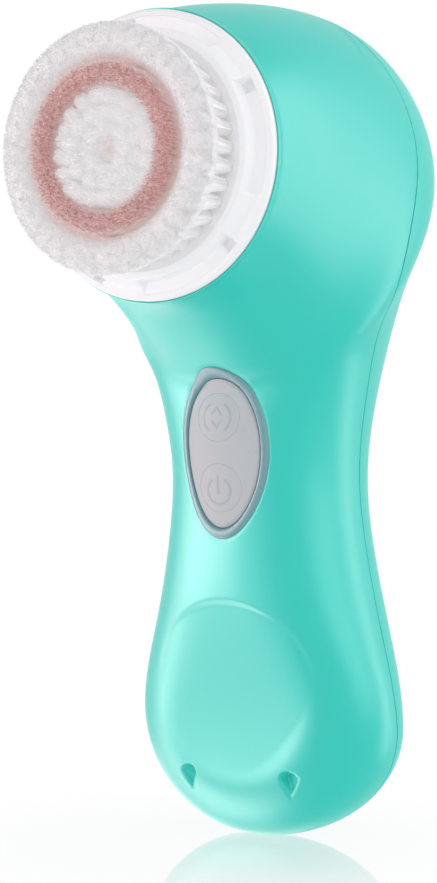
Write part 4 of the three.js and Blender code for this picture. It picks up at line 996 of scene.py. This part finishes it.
# Height of the tips: a ring's top is highest on its middle radius and falls by a power of the way to its
# edges; a centre tuft falls from its own middle by a power of share.
def tipHeight(row, top, radius, share, tuft):
    if "spread" in row:
        uneven = top["uneven"] * (np.sin(top["spin"][0] * tuft + row["base"]) - 1) / 2
        return top["height"] + uneven - row.get("drop", 0.0) - top["fall"] * share ** top["power"]
    off = np.abs(2 * radius - top["low"] - top["high"]) / (top["high"] - top["low"])
    return top["height"] - top["fall"] * np.minimum(off, 1) ** top["power"]


# Places inside tufts: each tuft's cross-section goes from a round foot to the patch that its tips fill, a
# piece of a ring with rounded corners or a disc, and meets its neighbours near the tips. around is the
# direction in the cross-section, share the way from its middle to its edge, and t the way from root to tip.
def inTuft(row, top, tuft, around, share, t, wide=1.0):
    b = bristle
    c, s = np.cos(around), np.sin(around)
    footAcross, footOut = share * row["foot"] * c, row["base"] + share * row["foot"] * s
    if "spread" in row:
        spread, sway = row["spread"] * wide, top["sway"]
        tipAcross = share * spread * c + sway * np.sin(top["spin"][1] * tuft + row["base"])
        tipOut = row["base"] + row.get("lean", 0.0) + share * spread * s + sway * np.cos(top["spin"][2] * tuft)
    else:
        low, high = row["tip"]
        tipRadius = (low + high) / 2 + share * (high - low) / 2 * signedPower(s, b["corner"])
        half = math.pi / row["tufts"] * wide * share * signedPower(c, b["corner"])
        tipAcross, tipOut = tipRadius * np.sin(half), tipRadius * np.cos(half)
    height = tipHeight(row, top, np.hypot(tipAcross, tipOut), share, tuft)
    across = blendTo(footAcross, tipAcross, np.clip(t / b["fullAt"], 0, 1))
    out = blendTo(footOut, tipOut, blendTo(t, t * t, b["flare"]))
    depth = blendTo(row.get("root", b["root"]), height, t)
    return roundAxis(out, depth, (tuft + row["phase"]) * turn / row["tufts"], across)


# The dense inside of each tuft: rings up its side and then in over its top.
def tuftCores(row, top):
    b = bristle
    around = np.linspace(0, turn, b["coreSides"], endpoint=False)[None, None, :]
    over = np.array(b["coreOver"])
    share = row["core"] * np.concatenate([np.ones(b["coreRows"]), over])
    up = np.linspace(0, b["coreTop"], b["coreRows"])
    t = np.concatenate([up, b["coreTop"] + b["coreRise"] * (1 - over**4)])
    tuft = np.arange(row["tufts"])[:, None, None]
    return inTuft(row, top, tuft, around, share[None, :, None], t[None, :, None])


# The dense upper part of a ring of tufts, just under the tips: its outer wall, its rounded top, by the formula
# of tipHeight, and a skirt that goes down inside, with a fine unevenness.
def ringCushion(top):
    f = cushion
    angle = np.linspace(0, turn, f["steps"], endpoint=False)[None, :]
    share = np.sin(np.linspace(-1, 1, f["rows"]) * math.pi / 2)
    half, middle = (top["high"] - top["low"]) / 2 - top["under"] * f["inset"], (top["high"] + top["low"]) / 2
    radius = middle + half * share
    height = top["height"] - top["under"] - top["fall"] * np.abs(share) ** top["power"]
    outside, below = radius[-1] - f["edge"][0], f["edge"][1]
    radius = np.concatenate([top["skirt"][:1], radius, [outside, outside - f["taper"] * top["depth"]]])
    height = np.concatenate([top["skirt"][1:], height, [height[-1] - below, height[-1] - top["depth"]]])
    uneven = random.normal(0, f["uneven"], (len(radius), f["steps"]))
    return roundAxis(radius[:, None] + uneven, height[:, None] + uneven, angle)


# Tapered three-sided tubes round lines in the shape lines, steps, 3.
def asTubes(line):
    n, steps = line.shape[:2]
    width = blendTo(bristle["thick"], bristle["thin"], np.linspace(0, 1, steps))[None, :, None]
    corner = np.arange(bristle["sides"])[None, None, :] * turn / bristle["sides"] + turn * random.random((n, 1, 1))
    return line[:, :, None, :] + np.stack([np.cos(corner) * width, 0 * corner * width, np.sin(corner) * width], -1)


# Short filaments scattered over a ring's whole top, leaning away from its middle radius.
def ringFilaments(top, count):
    angle = turn * random.random(count)[:, None]
    radius = np.sqrt(random.uniform(top["low"] ** 2, top["high"] ** 2, count))
    height = tipHeight({}, top, radius, 0, 0) - np.abs(random.normal(0, top["rough"], count))
    t = np.linspace(0, 1, 3)[None, :]
    root = radius - top["lean"] * (radius - (top["high"] + top["low"]) / 2)
    out = root[:, None] + (radius - root)[:, None] * t**1.5 + random.normal(0, top["stray"], (count, 1)) * t
    across = random.normal(0, top["stray"], (count, 1)) * t
    return asTubes(roundAxis(out, height[:, None] - top["length"] * (1 - t), angle, across))


# Filaments along the lines of inTuft, each bowed a little and ending at its own height.
def tuftFilaments(row, top, count, steps, start, shares, faces=(0.0, 1.0), wide=1.0):
    b = bristle
    n = row["tufts"] * count
    tuft = np.repeat(np.arange(row["tufts"]), count)[:, None]
    around = (turn * (random.uniform(faces[0], faces[1], n)))[:, None]
    share = np.sqrt(random.uniform(shares[0] ** 2, shares[1] ** 2, n))[:, None]
    end = 1 + np.minimum(random.normal(0, top["rough"], n), 0)[:, None] / b["shorter"]
    along = np.linspace(0, 1, steps)
    line = inTuft(row, top, tuft, around, share, start + (end - start) * along[None, :], wide)
    bow = random.normal(0, b["bow"], (n, 1, 3)) * np.sin(along * math.pi)[None, :, None]
    stray = random.normal(0, b["stray"], (n, 1, 3)) * along[None, :, None] ** 2
    return asTubes(line + (bow + stray) * np.array([1, 0, 1]))


nylonForm = {
    "speckleScale": 3600.0, "stretch": (1.0, 0.07, 1.0), "speckleSpan": (0.36, 0.64), "roughness": 0.55, "ior": 1.3,
    "scatterRadius": (1.0, 0.95, 0.92), "scatterScale": 0.003,
    # The next colour is a painted pinkish shade for white filaments beside the pink ring, over the radii that follow
    # it.
    "paintedPinkShade": colour(240, 218, 215), "paintedPinkShadeSpans": [(14.0, 16.0, 0.9, 0.0), (9.0, 14.0)],
    # The next colour is painted shade for the filaments round the hollow at the very middle, over the radii that
    # follow it.
    "middle": colour(238, 228, 228), "paintedCentreShadeSpan": (0.6, 2.4, 1.0, 0.0),
}
whiteTips = (colour(243, 241, 242), colour(251, 250, 251))
nylons = {  # glow is a painted glow that the filaments give off at the roots and at the tips, standing in for light let through them; tipSpan the heights between them
    "whiteNylon": {"root": colour(248, 247, 248), "tips": whiteTips, "tipSpan": (12.0, 16.0), "glow": (0.145, 0.13)},
    "centreNylon": {"root": colour(250, 249, 250), "tips": whiteTips, "tipSpan": (11.5, 15.0), "glow": (0.12, 0.155)},
    "pinkNylon": {"root": colour(232, 220, 219), "tips": (colour(190, 117, 113), colour(231, 180, 174)),
                  "tipSpan": (12.8, 17.0), "glow": (0.16, 0.155)},
}
bristlePieces = {
    "outerBristles": {"body": "brush_head", "rows": [outerRow], "top": whiteTop, "scattered": 7800, "cushion": True,
                      "nylon": "whiteNylon", "slot": "bristle_white", "node": "outer_bristles"},
    "middleBristles": {"body": "brush_head", "rows": [middleRow], "top": whiteTop, "scattered": 10500,
                       "cushion": False, "nylon": "whiteNylon", "slot": "bristle_white", "node": "outer_bristles"},
    "pinkBristles": {"body": "inner_brush", "rows": [pinkRow], "top": pinkTop, "scattered": 8000, "cushion": True,
                     "nylon": "pinkNylon", "slot": "bristle_pink", "node": "pink_bristles"},
    "centreBristles": {"body": "inner_brush", "rows": centreRows, "top": centreTop, "scattered": 0, "cushion": False,
                       "nylon": "centreNylon", "slot": "bristle_white", "node": "centre_bristles"},
}


# Nylon: root tone below, tip tones above, speckled at the size of a few filaments. The white ones take a painted
# pinkish shade beside the pink ring, and painted shade makes the very middle a little darker; all take a painted
# glow.
def nylon(name):
    f, tone = nylonForm, nylons[name]
    r = Recipe(name)
    x, y, z = r.split(r.place())
    depth = (y * -1 + (seatY + shift[1]) * mm) * 1000.0
    stretched = r.add("Mapping", {}, {0: r.place(), 3: f["stretch"]})
    speckle = r.noise(f["speckleScale"], 1.0, vector=stretched).mapped(*f["speckleSpan"])
    upper = depth.mapped(*tone["tipSpan"])
    base = r.mixColour(upper, tone["root"], r.mixColour(speckle, *tone["tips"]))
    isWhite = tone["tips"] == whiteTips
    if isWhite:
        up = z - (axisZ + shift[2]) * mm
        radius = (x * x + up * up).sqrt() * 1000.0
        # Painted pinkish shade on the white filaments next to the pink ring.
        beside = [radius.mapped(*span) for span in f["paintedPinkShadeSpans"]]
        base = r.mixColour(beside[0] * beside[1], base, f["paintedPinkShade"])
        # Painted shade: the filaments nearest the axis darken towards the middle colour.
        base = r.mixColour(radius.mapped(*f["paintedCentreShadeSpan"]), base, f["middle"])
    # Painted glow: the base colour times a grey share is given off as emission, which lightens the filaments' shade
    # as if light came through them.
    paintedGlowShare = r.mixColour(upper, *[(share, share, share, 1.0) for share in tone["glow"]])
    paintedGlowColour = r.mixColour(1.0, base, paintedGlowShare, "MULTIPLY")
    return r.finish(r.surface(colour=base, roughness=f["roughness"], ior=f["ior"], scatter=1.0, glow=paintedGlowColour,
                              radius=f["scatterRadius"], scatterScale=f["scatterScale"], glowStrength=1.0))


# Each row's cores and the filaments over their sides and tops, then what is scattered over the whole ring.
def bristlePiece(name, f, material):
    top = f["top"]
    shape = Shape()
    for row in f["rows"]:
        for core in tuftCores(row, top):
            shape.grid(core, closeCols=True)
        shape.tubes(tuftFilaments(row, top, row["side"], 5, 0.0, (0.9, 1.0), row.get("faces", (0.0, 1.0))))
        if "top" in row:
            shape.tubes(tuftFilaments(row, top, row["top"], 3, top["topFrom"], (0.0, 1.0), wide=top["wide"]))
    if f["scattered"]:
        shape.tubes(ringFilaments(top, f["scattered"]))
    if f["cushion"]:
        shape.grid(ringCushion(top), closeCols=True)
    piece = shape.made(name, f["body"], material, f["slot"], merge=False)
    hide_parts(f["node"])


nylonMade = {name: nylon(name) for name in nylons}
for pieceName, pieceForm in bristlePieces.items():
    bristlePiece(pieceName, pieceForm, nylonMade[pieceForm["nylon"]])
print("bristles: made")


studio = {
    "ambient": (0.74, 0.38),  # soft light in the middle, and what it gains towards +X
    "floorGlow": 0.55,  # how white the floor is to matt surfaces
    "floorHalf": 4.0,
    "aim": (0.0, 0.0, 0.07),
    "near": (0.015, 0.075), "whiteShare": (0.88, 1.0),  # m from the foot, and how white the floor is seen there
    "mirror": (0.005, 0.075), "mirrorShare": (0.42, 0.0), "mirrorRough": 0.05,
    "cardTone": (1.0, 0.76, 0.78),
}
white = (1.0, 1.0, 1.0, 1.0)


# The floor shows white to the camera and in reflections, with a little matt grey that takes the object's
# shadow, and a mirror image of the object that fades out with the distance from its foot.
def makeFloor():
    f = studio
    r = Recipe("paleFloor")
    seen = r.seen()
    base = r.mixColour(r.noise(40.0, 3.0), colour(244, 245, 246), colour(250, 250, 251))
    matt = r.surface(colour=base, roughness=0.9, specular=0.0)
    mirror = r.surface(colour=white, roughness=f["mirrorRough"], metallic=1.0)
    plain = r.add("Emission", {}, {"Color": white, "Strength": 1.0})
    x, y, z = r.split(r.place())
    away = (x * x + y * y).sqrt()
    share = away.mapped(*f["near"], *f["whiteShare"]) * seen + (1 - seen) * f["floorGlow"]
    ground = r.add("MixShader", {}, {0: share, 1: matt, 2: plain})
    image = away.mapped(*f["mirror"], *f["mirrorShare"], smoothly=False) * seen
    r.finish(r.add("MixShader", {}, {0: image, 1: ground, 2: mirror}))
    s = f["floorHalf"]
    mesh = bpy.data.meshes.new("floor")
    mesh.from_pydata([(-s, -s, 0), (s, -s, 0), (s, s, 0), (-s, s, 0)], [], [(0, 1, 2, 3)])
    mesh.materials.append(r.material)
    floor = linked("floor", mesh)
    floor.visible_glossy = False  # reflections see the white world and the cards instead
    floor.visible_shadow = False


# White to the camera and in reflections; matt surfaces get a soft light from all round that grows towards +X.
def makeWorld():
    r = Recipe("studio", "worlds")
    x, y, z = r.split(r.place("Generated"))
    middle, slant = studio["ambient"]
    soft = r.add("Background", {}, {"Color": (0.98, 0.99, 1.0, 1), "Strength": x * slant + middle})
    plain = r.add("Background", {}, {"Color": white, "Strength": 1.0})
    bpy.context.scene.world = r.finish(r.add("MixShader", {}, {0: r.seen(), 1: soft, 2: plain}), "World")


# Azimuth and elevation in degrees, as for the camera; distance and size in metres; glow is the card's
# brightness. The cards are seen in gloss only, and the one that is matt lights matt surfaces too.
lamps = {
    "leftCard": {"azimuth": -47.0, "elevation": 8.0, "distance": 1.0, "size": (0.72, 0.72), "glow": 13.5},
    "leftWide": {"azimuth": -34.0, "elevation": 10.0, "distance": 1.1, "size": (1.55, 1.45), "glow": 5.6},
    "leftSide": {"azimuth": -75.0, "elevation": -20.0, "distance": 1.0, "size": (0.5, 1.7), "glow": 6.5},
    "leftLow": {"azimuth": -52.0, "elevation": -48.0, "distance": 1.0, "size": (0.6, 0.8), "glow": 6.0},
    "leftUnder": {"azimuth": -115.0, "elevation": -46.0, "distance": 1.0, "size": (1.1, 1.0), "glow": 1.7},
    "rightCard": {"azimuth": 88.0, "elevation": 18.0, "distance": 1.0, "size": (0.7, 0.8), "glow": 4.5},
    "rightEdge": {"azimuth": 133.0, "elevation": 8.0, "distance": 1.0, "size": (0.3, 1.5), "glow": 7.0},
    "topLamp": {"azimuth": 60.0, "elevation": 62.0, "distance": 0.9, "size": (0.6, 0.6), "glow": 0.25, "matt": True},
}


def makeLamps():
    for name, f in lamps.items():
        isMatt = f.get("matt", False)
        data = bpy.data.lights.new(name, "AREA")
        data.shape = "RECTANGLE"
        data.size, data.size_y = f["size"]
        data.energy = f["glow"] * math.pi * data.size * data.size_y
        data.color = white[:3] if isMatt else studio["cardTone"]
        lamp = aimed(name, data, Vector(studio["aim"]), f["azimuth"], f["elevation"], f["distance"])
        lamp.visible_diffuse = isMatt
        lamp.visible_camera = False


makeFloor()
makeWorld()
makeLamps()
bpy.context.scene.view_settings.view_transform = "Standard"
print("studio: made")
